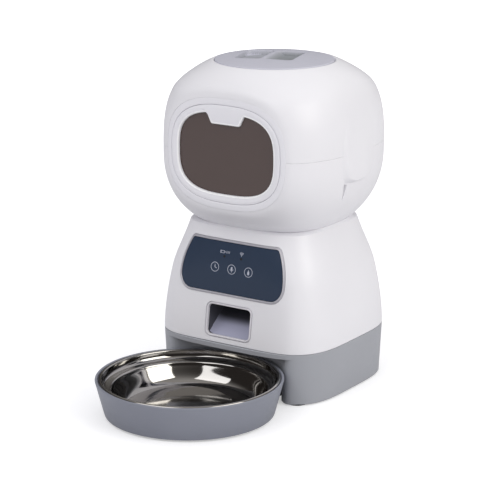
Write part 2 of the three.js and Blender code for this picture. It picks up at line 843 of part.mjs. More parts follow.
// An involute spur gear outline.
function gearOutline(teeth, turn) {
  const pitch = (gearModule * teeth) / 2;
  const base = pitch * Math.cos(radians(pressureAngle));
  const root = pitch - toothDedendum * gearModule;
  const tip = pitch + toothAddendum * gearModule;
  const involute = (radius) => {
    const open = Math.acos(Math.min(base / radius, 1));
    return Math.tan(open) - open;
  };
  const halfTooth = Math.PI / (2 * teeth) - toothBacklash / pitch + involute(pitch);
  const flank = levels(Math.max(base, root), tip, 3);
  const points = [];
  const add = (radius, angle) =>
    points.push(new THREE.Vector2(radius * Math.cos(angle), radius * Math.sin(angle)));
  for (let tooth = 0; tooth < teeth; tooth++) {
    const middle = turn + (2 * Math.PI * tooth) / teeth;
    const foot = halfTooth - involute(flank[0]);
    add(root, middle - foot - 0.02);
    for (const radius of flank) add(radius, middle - halfTooth + involute(radius));
    for (const radius of flank.toReversed()) add(radius, middle + halfTooth - involute(radius));
    add(root, middle + foot + 0.02);
  }
  return points;
}

const pinionCentre = rotorCentre + (gearModule * (wheelTeeth + pinionTeeth)) / 2;

function drivenGear() {
  const gear = slab(moved(gearOutline(wheelTeeth, 0), 0, rotorCentre), gearBottom, gearBottom + gearThick);
  return cut(gear, axle(shaftRadius + seatGap));
}

function drivePinion() {
  const outline = moved(gearOutline(pinionTeeth, Math.PI / pinionTeeth), 0, pinionCentre);
  const pinion = slab(outline, gearBottom - runGap, gearBottom + gearThick + runGap);
  return cut(pinion, axle(motorShaftRadius + seatGap, pinionCentre));
}

function motorShaft() {
  const low = gearboxTop - motorShaftDepth;
  const high = gearBottom + gearThick + 3 * runGap;
  return rod([0, pinionCentre, low], [0, pinionCentre, high], motorShaftRadius);
}

function gearbox() {
  const body = rod([0, pinionCentre, gearboxBottom], [0, pinionCentre, gearboxTop], gearboxRadius, 32);
  const bore = rod(
    [0, pinionCentre, gearboxTop - motorShaftDepth - runGap],
    [0, pinionCentre, gearboxTop + over],
    motorShaftRadius + seatGap,
  );
  return cut(body, bore);
}

const deckLow = skirtTop + seatGap;
const deckTop = deckLow + deckThick;
const motor = () =>
  rod([0, pinionCentre, deckTop + seatGap], [0, pinionCentre, gearboxBottom - seatGap], motorRadius, 32);

// A light gate under the drum that sees each gear turn go by.
function turnSensor() {
  const near = (gearModule * (wheelTeeth + 2)) / 2 + 2 * runGap;
  const high = drumFloor - seatGap;
  const plateHigh = high - sensorPlate;
  const [y0, y1] = [rotorCentre - sensorHalfWidth, rotorCentre + sensorHalfWidth];
  return joined(
    block(near, near + sensorDepth, y0, y1, high - sensorHeight, high),
    block(near - sensorDepth, near + over, y0 + 2, y1 - 2, plateHigh - sensorPlate, plateHigh),
  );
}

const bendTop = gearBottom; // where the chute's vertical throat turns into its sweep

// Side profile of the chute: a vertical throat, then a floor that sweeps forward in an arc.
function chuteProfile(inset) {
  const top = drumFloor - seatGap + (inset ? over : 0);
  const front = (z) => -(frontAt(z) - wall - seatGap) - (inset ? beyond : 0);
  const backY = rotorCentre - dropNear + chuteWall - inset;
  const low = outletLow + inset - chuteWall / 2;
  const high = outletHigh + chuteWall - inset;
  const farY = rotorCentre - dropFar - chuteWall + inset;
  const bend = new THREE.QuadraticBezierCurve(
    new THREE.Vector2(backY, bendTop),
    new THREE.Vector2((backY - frontAt(low)) / 2.6, low + 3.5 * chuteWall),
    new THREE.Vector2(front(low), low),
  );
  const floor = bend.getPoints(chuteSteps).map((p) => [p.x, p.y]);
  const roof = [
    [front(high), high],
    [farY - chuteKnee, high + chuteKnee / 4],
    [farY, high + chuteKnee],
    [farY, top],
  ];
  return [[backY, top], ...floor, ...roof];
}

function chute() {
  const outer = chuteHalfWidth + seatGap + chuteWall;
  const duct = sideSlab(chuteProfile(0), -outer, outer);
  const inner = chuteHalfWidth + seatGap;
  return cut(duct, sideSlab(chuteProfile(chuteWall), -inner, inner));
}

const outletMiddle = ((outletLow + outletHigh) / 2 - frontHeight) * frontScale;
const outletHalf = ((outletHigh - outletLow) / 2) * frontScale;
const outletOutline = (grow) =>
  moved(
    roundedRectangle(chuteHalfWidth + outletRim + grow, outletHalf + grow, outletCorner + grow),
    0,
    outletMiddle,
  );

function chuteFrame() {
  const rim = slab(outletOutline(0), -wall, outletProud, frontPlane);
  return cut(rim, slab(outletOutline(-outletRim), -beyond, beyond, frontPlane));
}

// ======== Body ========

// The panel's outline: straight top and bottom, bowed sides, wide rounded lower corners.
function panelOutline(grow) {
  const top = panelTop + grow;
  const bottom = panelBottom - grow;
  const sideRise = panelTop - panelWaist;
  const right = levels(top, panelWaist, 6).map((v) => {
    const along = (v - panelWaist) / sideRise;
    return [panelHalfWaist + grow - (panelHalfWaist - panelHalfTop) * along * along, v];
  });
  const cornerX = panelHalfWaist - panelCornerWidth;
  for (let i = 1; i <= 5; i++) {
    const angle = (Math.PI / 2) * (i / 5);
    const x = cornerX + (panelCornerWidth + grow) * Math.cos(angle);
    right.push([x, panelWaist - (panelWaist - bottom) * Math.sin(angle)]);
  }
  const left = right.toReversed().map(([x, v]) => [-x, v]);
  return [...right, ...left].map(([x, v]) => new THREE.Vector2(x, v));
}

const bodyLevels = levels(skirtTop, bodyTop, 6).slice(1, -1);

// The head's lower edge as a flat outline, drawn in by inset.
function neckOutline(inset) {
  return superellipse(neckHalfWidth - inset, neckHalfDepth - inset, headCorner);
}

function bodyShell() {
  const low = skirtTop + seatGap;
  const outer = bodyLoft([low, ...bodyLevels, bodyTop], 0);
  const inner = bodyLoft([skirtTop - over, ...bodyLevels, bodyTop + over], wall);
  const neckSeat = headBottom - seatGap;
  const ledge = bodyLoft([neckSeat - wall, neckSeat], over);
  const neckHole = slab(neckOutline(neckLap + over), neckSeat - beyond, neckSeat + over);
  const panelHole = slab(panelOutline(bezelWidth + seatGap), -boardBack, beyond, frontPlane);
  const outletHole = slab(outletOutline(seatGap), -boardBack, beyond, frontPlane);
  const slotReach = (slotPitch * (slotCount - 1)) / 2;
  const slotLow = speakerHeight - slotHalfHeight;
  const slots = levels(-slotReach, slotReach, slotCount).map((x) =>
    block(x - 1, x + 1, beyond, 2 * baseHalfWidth, slotLow, slotLow + 2 * slotHalfHeight),
  );
  return cut(joined(cut(outer, inner), cut(ledge, neckHole)), panelHole, outletHole, ...slots);
}

const keyPositions = Array.from({ length: keyCount }, (_, i) => (i - (keyCount - 1) / 2) * keyPitch);
const lampPositions = [-keyPitch / 2, keyPitch / 2];
const panelFloor = panelProud - panelThick - seatGap;

// A round bar square to the front plane, x across and rise up from the keys' line.
const peg = (radius, x, rise, from, to) => slab(moved(circle(radius), x, rise), from, to, frontPlane);

// The panel's surround is a tray: a rim in the shell's opening and a floor behind the panel.
function panelBezel() {
  const tray = slab(panelOutline(bezelWidth), panelFloor - thinWall, bezelProud, frontPlane);
  const recess = slab(panelOutline(seatGap), panelFloor, beyond, frontPlane);
  const keyHoles = keyPositions.map((x) => peg(keyRadius + runGap, x, 0, -beyond, 0));
  const lampHoles = lampPositions.map((x) => peg(lampRadius + runGap, x, lampRise, -beyond, 0));
  return cut(tray, recess, ...keyHoles, ...lampHoles);
}

const panelFace = () => slab(panelOutline(0), panelProud - panelThick, panelProud, frontPlane);

const boardFront = boardThick - boardBack;

function mainBoard() {
  const outline = roundedRectangle(boardHalfWidth, boardHalfHeight, 2, 2);
  return slab(outline, -boardBack, boardFront, frontPlane);
}

// A touch key's contact spring, as the cup that its coils fill.
function keySpring(x) {
  const cup = peg(keyRadius, x, 0, boardFront + seatGap, panelFloor);
  return cut(cup, peg(keyRadius - keySpringWall, x, 0, -beyond, panelFloor - over));
}

const statusLamp = (x) => peg(lampRadius, x, lampRise, boardFront + seatGap, panelFloor);
function microphone() {
  const low = boardFront + seatGap;
  return peg(microphoneRadius, microphoneX, microphoneRise, low, low + microphoneHeight);
}

// The rear wall's distance from the axis at a height, on its flat facet.
function rearAt(z) {
  const ends = [skirtTop, ...bodyLevels, bodyTop];
  const i = ends.findIndex((level) => level > z);
  const share = (z - ends[i - 1]) / (ends[i] - ends[i - 1]);
  return THREE.MathUtils.lerp(bodyHalf(ends[i - 1]), bodyHalf(ends[i]), share) * depthRatio;
}

// The loudspeaker faces the slots in the rear wall.
function speaker() {
  const low = rearAt(speakerHeight - speakerRadius);
  const high = rearAt(speakerHeight + speakerRadius);
  const back = new THREE.Vector3(0, low - high, 2 * speakerRadius).normalize(); // square to the rear wall
  const basis = new THREE.Matrix4().makeBasis(
    new THREE.Vector3(-1, 0, 0),
    new THREE.Vector3(0, -back.y, back.z),
    new THREE.Vector3(0, back.z, back.y),
  );
  basis.setPosition(0, (low + high) / 2 - wall - seatGap, speakerHeight);
  const basket = slab(circle(speakerRadius, roundSteps), -runGap - speakerRing, -runGap, basis);
  const magnet = slab(circle(speakerRadius / 2, roundSteps), -speakerDepth, -speakerRing, basis);
  const cone = slab(circle(speakerRadius - speakerRing, roundSteps), over - speakerRing, over, basis);
  return joined(cut(basket, cone), magnet);
}

// ======== Base ========

const trayAxis = -trayCentre;
const recessRadius = trayRimRadius + recessGap;
const recessWall = recessRadius + wall;
const shelfRadius = recessRadius - shelfLip;
const ledgeLow = plateBottom + plateThick + seatGap;
const dockLow = ledgeLow + seatGap;
const slotHalf = dockHalfWidth + runGap;

function cylinderAtTray(radius, z0, z1, steps = outlineSteps) {
  return rod([0, trayAxis, z0], [0, trayAxis, z1], radius, steps);
}

function baseSkirt() {
  const outer = bodyLoft([skirtBottom, skirtTop], 0);
  const hollow = bodyLoft([skirtBottom - over, skirtTop + over], wall);
  const inside = bodyLoft([0, skirtTop + over], wall + skirtLedge);
  const ledge = cut(bodyLoft([ledgeLow, ledgeLow + thinWall], over), inside);
  const rim = cut(bodyLoft([skirtTop - wall, skirtTop], over), inside);
  const pocket = outer.intersect(cylinderAtTray(recessWall, skirtBottom - over, recessTop + wall));
  const ringWall = joined(cut(outer, hollow), ledge, rim, pocket);
  const recess = cylinderAtTray(recessRadius, 0, recessTop);
  const shelfSlot = block(-shelfHalf - seatGap, shelfHalf + seatGap, -frontDepth, 0, 0, ledgeLow);
  const shelfCut = shelfSlot.intersect(cylinderAtTray(recessWall + over, 0, ledgeLow));
  const dockSlot = block(-slotHalf, slotHalf, -frontDepth, bayFront, 0, dockLow + dockThick + runGap);
  const nearDock = dockSlot.intersect(cylinderAtTray(recessWall + over, 0, skirtTop));
  const socketHole = rod([0, 0, socketHeight], [0, 2 * baseHalfWidth, socketHeight], socketRadius + seatGap);
  return cut(ringWall, recess, shelfCut, nearDock, socketHole);
}

const cellsFront = bayFront + thinWall + runGap;
const bayBack = cellsFront + cellPitch * cellCount + thinWall;
const bayHalf = cellLength / 2 + bayEndRoom + thinWall;
const doorHalf = bayHalf - thinWall + doorLap;
const cornerShare = 2 ** (-1 / bodyCorner); // where the outline's corner crosses its diagonal
const footX = cornerShare * baseHalfWidth - footInset;
const footY = cornerShare * baseHalfDepth - footInset;
const screwX = (bayHalf + baseHalfWidth) / 2 - screwSideStep;
const screwFrontY = screwFrontStep - footY;
const screwBackY = footY - screwBackStep;
const footPlaces = [-footY, footY].flatMap((y) => [-footX, footX].map((x) => [x, y]));
const screwPlaces = [screwFrontY, screwBackY].flatMap((y) => [-screwX, screwX].map((x) => [x, y]));

function basePlate() {
  const plateTop = plateBottom + plateThick;
  const inset = wall + seatGap;
  const full = bodyLoft([plateBottom, plateTop], inset);
  const behind = cut(full, cylinderAtTray(recessWall + seatGap, 0, skirtTop));
  const shelf = cut(
    cylinderAtTray(recessWall + over, plateBottom, plateTop),
    cylinderAtTray(shelfRadius, 0, skirtTop),
  ).intersect(block(-shelfHalf, shelfHalf, -frontDepth, 0, 0, skirtTop));
  const opening = block(
    -bayHalf + thinWall,
    bayHalf - thinWall,
    bayFront + thinWall,
    bayBack - thinWall,
    0,
    skirtTop,
  );
  const rails = [-1, 1].flatMap((side) => {
    const inner = side * (doorHalf + seatGap);
    const outer = side * (doorHalf + seatGap + railThick);
    const lip = side * (doorHalf - doorLap + 1);
    const low = doorBottom - seatGap - railLip;
    const [x0, x1] = [Math.min(inner, outer), Math.max(inner, outer)];
    const [x2, x3] = [Math.min(lip, outer), Math.max(lip, outer)];
    return [
      block(x0, x1, bayFront, bayBack, low, plateBottom + over),
      block(x2, x3, bayFront, bayBack, low, doorBottom - seatGap),
    ];
  });
  const footHoles = footPlaces.map(([x, y]) => rod([x, y, 0], [x, y, skirtTop], footNeck + seatGap));
  const screwHoles = screwPlaces.map(([x, y]) => rod([x, y, 0], [x, y, skirtTop], screwRadius + seatGap));
  return cut(joined(cut(joined(behind, shelf), opening), ...rails), ...footHoles, ...screwHoles);
}

function foot([x, y]) {
  const plateTop = plateBottom + plateThick;
  return turned(
    [
      [0, 0],
      [footRadius - 1, 0],
      [footRadius, 1],
      [footRadius, plateBottom - seatGap],
      [footNeck, plateBottom - seatGap],
      [footNeck, plateTop + seatGap],
      [footNeck + 1, plateTop + seatGap],
      [footNeck, plateTop + 2],
      [0, plateTop + 2],
    ],
    x,
    y,
    smallSteps,
  );
}

function baseScrew([x, y]) {
  const headTopZ = plateBottom - seatGap;
  return turned(
    [
      [0, headTopZ - screwHeadHeight / 2],
      [driveRadius, headTopZ - screwHeadHeight / 2],
      [driveRadius, headTopZ - screwHeadHeight],
      [screwHeadRadius, headTopZ - screwHeadHeight],
      [screwHeadRadius, headTopZ],
      [screwRadius, headTopZ],
      [screwRadius, headTopZ + screwLength - 1],
      [0, headTopZ + screwLength],
    ],
    x,
    y,
    smallSteps,
  );
}

// The chassis deck closes the base, carries the drive and the drum, and takes the base screws in its bosses.
function chassis() {
  const deck = bodyLoft([deckLow, deckTop], wall + deckGap);
  const bossLow = plateBottom + plateThick + seatGap;
  const bosses = screwPlaces.map(([x, y]) => rod([x, y, bossLow], [x, y, deckLow + over], bossRadius));
  const boreTop = plateBottom + screwLength + over;
  const screwBores = screwPlaces.map(([x, y]) => rod([x, y, 0], [x, y, boreTop], screwRadius + seatGap));
  const postReach = drumRadius + wall - postRadius;
  const posts = postDirections.map((direction) => {
    const x = postReach * Math.cos(radians(direction));
    const y = rotorCentre + postReach * Math.sin(radians(direction));
    return rod([x, y, deckTop - over], [x, y, drumFloor - seatGap], postRadius);
  });
  const wireY = baseHalfDepth - 3 * wireHoleRadius;
  const wireHole = rod([0, wireY, 0], [0, wireY, deckTop + over], wireHoleRadius, roundSteps);
  return cut(joined(deck, ...bosses, ...posts), ...screwBores, wireHole);
}

function batteryBay() {
  const low = plateBottom + plateThick + seatGap;
  const outer = block(-bayHalf, bayHalf, bayFront, bayBack, low, bayTop);
  const inner = block(
    -bayHalf + thinWall,
    bayHalf - thinWall,
    bayFront + thinWall,
    bayBack - thinWall,
    0,
    bayTop - thinWall,
  );
  return cut(outer, inner);
}

function batteryDoor() {
  const top = doorBottom + doorThick;
  const plate = block(-doorHalf, doorHalf, bayFront, bayBack, doorBottom, top);
  const lastGrip = bayBack - 2 * gripPitch;
  const grips = levels(lastGrip - 3 * gripPitch, lastGrip, 4).map((y) =>
    block(-bayHalf / 2, bayHalf / 2, y - gripDepth, y + gripDepth, doorBottom - over, doorBottom + gripDepth),
  );
  return cut(plate, ...grips);
}

function batteryCell(index) {
  const y = cellsFront + cellPitch * (index + 0.5);
  const end = cellLength / 2;
  const flip = index % 2 ? -1 : 1;
  const shoulder = end - cellNubLength;
  const can = rod([-end * flip, y, cellHeight], [shoulder * flip, y, cellHeight], cellRadius, 32);
  const nub = rod([(shoulder - over) * flip, y, cellHeight], [end * flip, y, cellHeight], cellNub);
  return joined(can, nub);
}

// Contact strips stand at both ends of the cells, with a cone spring or a dome for each cell.
function contactStrip(side, radius) {
  const outer = side * (bayHalf - thinWall - seatGap);
  const inner = outer - side * contactThick;
  const [x0, x1] = [Math.min(outer, inner), Math.max(outer, inner)];
  const [z0, z1] = [cellHeight - contactHalfHeight, cellHeight + contactHalfHeight];
  const strip = block(x0, x1, cellsFront + contactHalfHeight / 2, bayBack - contactHalfHeight, z0, z1);
  const tip = side * (cellLength / 2 + seatGap);
  const cones = Array.from({ length: cellCount }, (_, i) => {
    const y = cellsFront + cellPitch * (i + 0.5);
    return rod([outer, y, cellHeight], [tip, y, cellHeight], radius, smallSteps, radius * 0.6);
  });
  return joined(strip, ...cones);
}

function powerSocket() {
  const [z0, z1] = [socketHeight - socketHalfHeight, socketHeight + socketHalfHeight];
  const outerY = bodyHalf(socketHeight) * depthRatio - runGap;
  const innerY = bodyHalf(z0) * depthRatio - wall - seatGap;
  const boreY = innerY + socketBore - socketDepth;
  const housing = block(-socketHalfWidth, socketHalfWidth, innerY - socketDepth, innerY, z0, z1);
  const barrel = rod([0, innerY - over, socketHeight], [0, outerY, socketHeight], socketRadius);
  const bore = rod([0, boreY, socketHeight], [0, outerY + over, socketHeight], socketBore);
  const pin = rod([0, boreY - over, socketHeight], [0, outerY - thinWall, socketHeight], socketPin);
  return joined(cut(joined(housing, barrel), bore), pin);
}

// ======== Tray and bowl ========

// The tray's sloping outer wall.
function trayOutside(z) {
  const rise = trayHeight - trayEdge - trayFloor;
  return trayFootRadius + ((trayRimRadius - trayFootRadius) * (z - trayFloor)) / rise;
}

function bowlTray() {
  const ledge = bowlRimHeight - bowlRimDepth;
  return turned(
    [
      [0, trayFloor],
      [trayFootRadius - trayFootInset - trayFootWidth, trayFloor],
      [trayFootRadius - trayFootInset - trayFootWidth, 0],
      [trayFootRadius - trayFootInset, 0],
      [trayFootRadius - trayFootInset, trayFloor],
      [trayFootRadius, trayFloor],
      [trayRimRadius, trayHeight - trayEdge],
      [trayRimRadius - trayEdge / 2, trayHeight],
      [trayRimRadius - 2 * trayEdge, trayHeight],
      [bowlRimRadius + runGap, ledge],
      [bowlRimRadius - trayWall, ledge],
      [trayOutside(ledge - trayBracket) - trayWall, ledge - trayBracket],
      [trayOutside(trayFloor + trayCorner) - trayWall, trayFloor + trayCorner],
      [trayFootRadius - trayWall - trayCorner, trayFloor + trayWall],
      [0, trayFloor + trayWall],
    ],
    0,
    trayAxis,
    bowlSteps,
  );
}

// The steel bowl: a rolled rim, a wall that rounds into the floor, and a raised disc in the floor.
function steelBowl() {
  const rimLow = bowlRimHeight - bowlRimDepth + seatGap;
  const rollX = bowlRimRadius - bowlRollRadius;
  const rollZ = rimLow + bowlRollRadius;
  const wallTop = rollX - bowlRollRadius;
  const roll = levels(-90, 180, 5).map((angle) => [
    rollX + bowlRollRadius * Math.cos(radians(angle)),
    rollZ + bowlRollRadius * Math.sin(radians(angle)),
  ]);
  const wallCurve = new THREE.CubicBezierCurve(
    new THREE.Vector2(wallTop, rollZ),
    new THREE.Vector2(wallTop - 4, rollZ - bowlSteepness),
    new THREE.Vector2(bowlFloorRadius + 15, bowlFloor + 1),
    new THREE.Vector2(bowlFloorRadius, bowlFloor),
  );
  const inside = wallCurve.getPoints(5).slice(1).map((p) => [p.x, p.y]);
  const outside = inside.toReversed().map(([radius, z]) => [radius + bowlSheet * 0.5, z - bowlSheet * 0.9]);
  const raised = bowlFloor + bowlStepHeight;
  const raisedRadius = bowlFloorRadius - bowlStepRadius;
  return turned(
    [
      [0, raised - bowlSheet],
      [raisedRadius - 1, raised - bowlSheet],
      [raisedRadius + 1, bowlFloor - bowlSheet],
      ...outside,
      [wallTop + bowlSheet, rollZ - bowlRollRadius],
      ...roll,
      ...inside,
      [raisedRadius + 1, bowlFloor],
      [raisedRadius - 1, raised],
      [0, raised],
    ],
    0,
    trayAxis,
    bowlSteps,
  );
}

// The tray's tongue slides through a slot in the recess wall and lies on the base plate.
function trayTongue() {
  const front = trayAxis + trayFootRadius - trayWall;
  const bar = block(-dockHalfWidth, dockHalfWidth, front, -dockReach, dockLow, dockLow + dockThick);
  const trayShape = turned(
    [
      [0, 0],
      [trayOutside(0) + seatGap, 0],
      [trayOutside(trayHeight) + seatGap, trayHeight],
      [0, trayHeight],
    ],
    0,
    trayAxis,
    bowlSteps,
  );
  return cut(bar, trayShape);
}

// ======== Materials ========

const finish = (color, roughness, metalness = 0) =>
  new THREE.MeshStandardMaterial({ color, roughness, metalness });

const whiteShell = finish(0xe8e7ec, 0.35);
const faceWhite = finish(0xdcdbe2, 0.4);
const lidGrey = finish(0xb4b4be, 0.4);
const baseGrey = finish(0x9a9ca3, 0.45);
const trayGrey = finish(0x8c8f9a, 0.4);
const smokedClear = new THREE.MeshStandardMaterial({
  color: 0x4c4039,
  roughness: 0.1,
  transparent: true,
  opacity: 0.55,
});
const navyGloss = finish(0x323c4e, 0.12);
const silverTrim = finish(0xb5b4bb, 0.3);
const chuteGrey = finish(0x8f8fa6, 0.45);
const innerPlastic = finish(0xd9d9dc, 0.5);
const softRubber = finish(0xd8d5cc, 0.7);
const blackPlastic = finish(0x1a1a1c, 0.5);
const blackRubber = finish(0x151515, 0.8);
const clearSilicone = finish(0xe6e6ea, 0.6);
const steel = finish(0xc8c9cc, 0.15, 1);
const brass = finish(0xc2a45a, 0.35, 1);
const boardGreen = finish(0x2f6b45, 0.55);
const lampClear = finish(0xdfe8ef, 0.2);
const nylonWhite = finish(0xefeee6, 0.5);
const cellWrap = finish(0x3c4048, 0.4);

// ======== Assembly ========

// Everything is drawn about the head's vertical axis, and the whole is centred between its front and back.
const frontReach = trayCentre + trayRimRadius;
const axisShift = (frontReach - headHalfDepth) / 2;

const group = new THREE.Group();
const model = new THREE.Group();
model.position.set(0, axisShift, 0);
group.add(model);

function place(name, solid, material) {
  const mesh = new THREE.Mesh(geometryOf(solid), material);
  mesh.name = name;
  model.add(mesh);
}

place("lid_cap", lidCap(), lidGrey);
place("lid_seal", lidSeal(), clearSilicone);
place("drying_box", dryingBox(), innerPlastic);
place("drying_box_cover", dryingCover(), innerPlastic);
place("head_upper_shell", headUpperShell(), whiteShell);
place("head_lower_shell", headLowerShell(), whiteShell);
place("face_bezel", faceBezel(), faceWhite);
place("window_frame", windowFrame(), faceWhite);
place("window_pane", windowPane(), smokedClear);
place("side_ear_left", sideEar(-1), whiteShell);
place("side_ear_right", sideEar(1), whiteShell);
place("hopper_funnel", hopperFunnel(), innerPlastic);
place("paddle_drum", paddleDrum(), innerPlastic);
place("shaft_bush", shaftBush(), brass);
place("paddle_wheel", paddleWheel(), softRubber);
place("stirrer", stirrer(), nylonWhite);
place("rotor_shaft", rotorShaft(), steel);
place("driven_gear", drivenGear(), nylonWhite);
place("drive_pinion", drivePinion(), nylonWhite);
place("motor_shaft", motorShaft(), steel);
place("gearbox", gearbox(), blackPlastic);
place("drive_motor", motor(), steel);
place("turn_sensor", turnSensor(), blackPlastic);
place("chute", chute(), chuteGrey);
place("chute_frame", chuteFrame(), silverTrim);
place("body_shell", bodyShell(), whiteShell);
place("panel_bezel", panelBezel(), silverTrim);
place("panel_face", panelFace(), navyGloss);
place("main_board", mainBoard(), boardGreen);
keyPositions.forEach((x, i) => place(`touch_spring_${i + 1}`, keySpring(x), steel));
lampPositions.forEach((x, i) => place(`status_lamp_${i + 1}`, statusLamp(x), lampClear));
place("microphone", microphone(), steel);
place("speaker", speaker(), blackPlastic);
place("chassis", chassis(), innerPlastic);
place("base_skirt", baseSkirt(), baseGrey);
place("base_plate", basePlate(), blackPlastic);
place("battery_bay", batteryBay(), blackPlastic);
place("battery_door", batteryDoor(), blackPlastic);
for (let i = 0; i < cellCount; i++) place(`battery_cell_${i + 1}`, batteryCell(i), cellWrap);
place("battery_contact_left", contactStrip(-1, contactSpringRadius), steel);
place("battery_contact_right", contactStrip(1, contactDomeRadius), steel);
place("power_socket", powerSocket(), blackPlastic);
footPlaces.forEach((at, i) => place(`foot_${i + 1}`, foot(at), blackRubber));
screwPlaces.forEach((at, i) => place(`base_screw_${i + 1}`, baseScrew(at), steel));
place("bowl_tray", bowlTray(), trayGrey);
place("tray_tongue", trayTongue(), blackPlastic);
place("steel_bowl", steelBowl(), steel);

export default group;
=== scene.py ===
"""Looks of the automatic pet feeder: smooth moulded shells, trims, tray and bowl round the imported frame.

Shapes are worked out in millimetres about the head's upright axis, the front towards -Y. place() turns them
into metres in the frame's own axes.
"""

import json
import math

import bmesh
import bpy
import numpy as np
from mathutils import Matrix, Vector


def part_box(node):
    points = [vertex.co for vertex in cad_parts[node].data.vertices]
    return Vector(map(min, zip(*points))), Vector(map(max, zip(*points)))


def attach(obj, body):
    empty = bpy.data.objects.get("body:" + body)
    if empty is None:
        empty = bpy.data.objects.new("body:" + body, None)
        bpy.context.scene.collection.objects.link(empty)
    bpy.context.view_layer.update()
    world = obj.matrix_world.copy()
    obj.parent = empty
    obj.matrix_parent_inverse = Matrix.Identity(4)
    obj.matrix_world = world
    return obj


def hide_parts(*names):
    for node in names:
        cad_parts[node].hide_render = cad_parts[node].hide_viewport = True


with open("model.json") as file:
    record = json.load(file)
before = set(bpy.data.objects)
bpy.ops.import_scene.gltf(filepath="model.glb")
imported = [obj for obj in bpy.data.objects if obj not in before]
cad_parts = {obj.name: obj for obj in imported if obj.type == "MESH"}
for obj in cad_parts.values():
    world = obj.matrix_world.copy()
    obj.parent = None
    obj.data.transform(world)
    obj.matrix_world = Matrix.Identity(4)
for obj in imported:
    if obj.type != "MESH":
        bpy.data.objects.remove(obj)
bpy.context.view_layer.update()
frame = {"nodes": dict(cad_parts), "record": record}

MILLI = 0.001
TURN = 2 * math.pi

# ======== Sizes, in millimetres ========


def box(node):
    """A node's lowest and highest corner in millimetres about the head's axis."""
    return [np.array(corner) / MILLI - np.array([0, AXIS_Y, 0]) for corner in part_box(node)]


AXIS_Y = (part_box("lid_cap")[0].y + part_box("lid_cap")[1].y) / 2 / MILLI

HEAD_BOTTOM = box("head_lower_shell")[0][2]
HEAD_TOP = box("head_upper_shell")[1][2]
HEAD_PARTING = (box("head_lower_shell")[1][2] + box("head_upper_shell")[0][2]) / 2
HEAD_WAIST = HEAD_BOTTOM + 72
HEAD_HALF = (97.2, 98.58)
NECK_HALF = (64.1, 55.7)
CROWN_HALF = (60.8, 61.7)
FACE_DEPTH = -box("face_bezel")[0][1]
FACE_STACK = 7.3  # frame, pane and flange behind the face
FACE_SOFT = 4.5  # over this depth the round head eases into its flat face
WINDOW_Z = HEAD_PARTING + 0.7
WINDOW_HALF = (54.3, 39.3)
FRAME_HALF = (62.0, 47.2)
BEZEL_HALF = (67.5, 54.0)
WINDOW_CORNER, FRAME_CORNER = 3, 2.7  # exponents of their rounded squares; the bezel has the frame's
WALL = 2.5
PART_GAP = 0.1

BODY_LOW = box("body_shell")[0][2]
BODY_TOP = box("body_shell")[1][2]
BASE_HALF_WIDTH = 96
FRONT_Z = 125  # the touch keys' line on the leaning front plane
FRONT_SLOPE = 0.155
FRONT_SCALE = math.hypot(1, FRONT_SLOPE)
BODY_SOFT = 5
BODY_CORNER = 4
SKIRT_LOW = 1.2  # so low that the skirt leaves little of the feet in sight
SKIRT_TOP = box("base_skirt")[1][2]

LID_RADIUS = 58.6
LID_HOLE = 59.1
LID_TOP = box("lid_cap")[1][2]
LID_SEAT = HEAD_TOP - 3.5
COLLAR_RADIUS = 55.5

TRAY_Y = (box("bowl_tray")[0][1] + box("bowl_tray")[1][1]) / 2
RECESS_RADIUS = 93.0  # the skirt's front is hollowed round the tray
RECESS_TOP = 47.0
SHELF_HALF, SHELF_TOP = 56.3, 9.3  # the notch in that hollow's wall for the base plate's shelf
DOCK_HALF, DOCK_TOP = 22.5, 14.1  # the slot above it for the tray's tongue
BOWL_RIM = 86.8
BOWL_RIM_Z = box("steel_bowl")[1][2]

ROTOR_Y = 4.0  # the drum's upright axis lies this far behind the head's


# ======== Meshes ========


def place(points):
    """Millimetres about the head's axis to metres in the frame's axes."""
    return (np.asarray(points, float) + [0, AXIS_Y, 0]) * MILLI


def grid_faces(rows, cols, wrap_rows=False, wrap_cols=True):
    """Four-sided faces of a grid of points; a wrapped side joins its last line to its first."""
    r = np.arange(rows if wrap_rows else rows - 1)[:, None]
    c = np.arange(cols if wrap_cols else cols - 1)[None, :]
    r2, c2 = (r + 1) % rows, (c + 1) % cols
    corners = [r * cols + c, r * cols + c2, r2 * cols + c2, r2 * cols + c]
    return np.stack(np.broadcast_arrays(*corners), -1).reshape(-1, 4)


def closed(points, faces):
    """A closed body, its faces turned so that the volume under them is positive."""
    points = np.asarray(points, float).reshape(-1, 3)
    a, b, c, d = (points[faces[:, i]] for i in range(4))
    volume = (a * np.cross(b, c)).sum() + (a * np.cross(c, d)).sum()
    return points, faces if volume > 0 else faces[:, ::-1]


def hoop(loops):
    """A closed ring over loops of points: each loop joins the next, and the last joins the first."""
    loops = np.asarray(loops, float)
    return closed(loops, grid_faces(*loops.shape[:2], wrap_rows=True))


def capped(loops):
    """A closed body over loops of points whose first and last loop shrink to a point."""
    loops = np.asarray(loops, float)
    ends = [np.broadcast_to(loop.mean(0), loop.shape) for loop in (loops[0], loops[-1])]
    loops = np.concatenate([ends[:1], loops, ends[1:]])
    return closed(loops, grid_faces(*loops.shape[:2]))


def open_edges(faces, count):
    """The edges that only one face has, each in that face's direction, of faces over count points."""
    edges = np.stack([faces, np.roll(faces, -1, 1)], -1).reshape(-1, 2)
    return edges[~np.isin(edges[:, 0] * count + edges[:, 1], edges[:, 1] * count + edges[:, 0])]


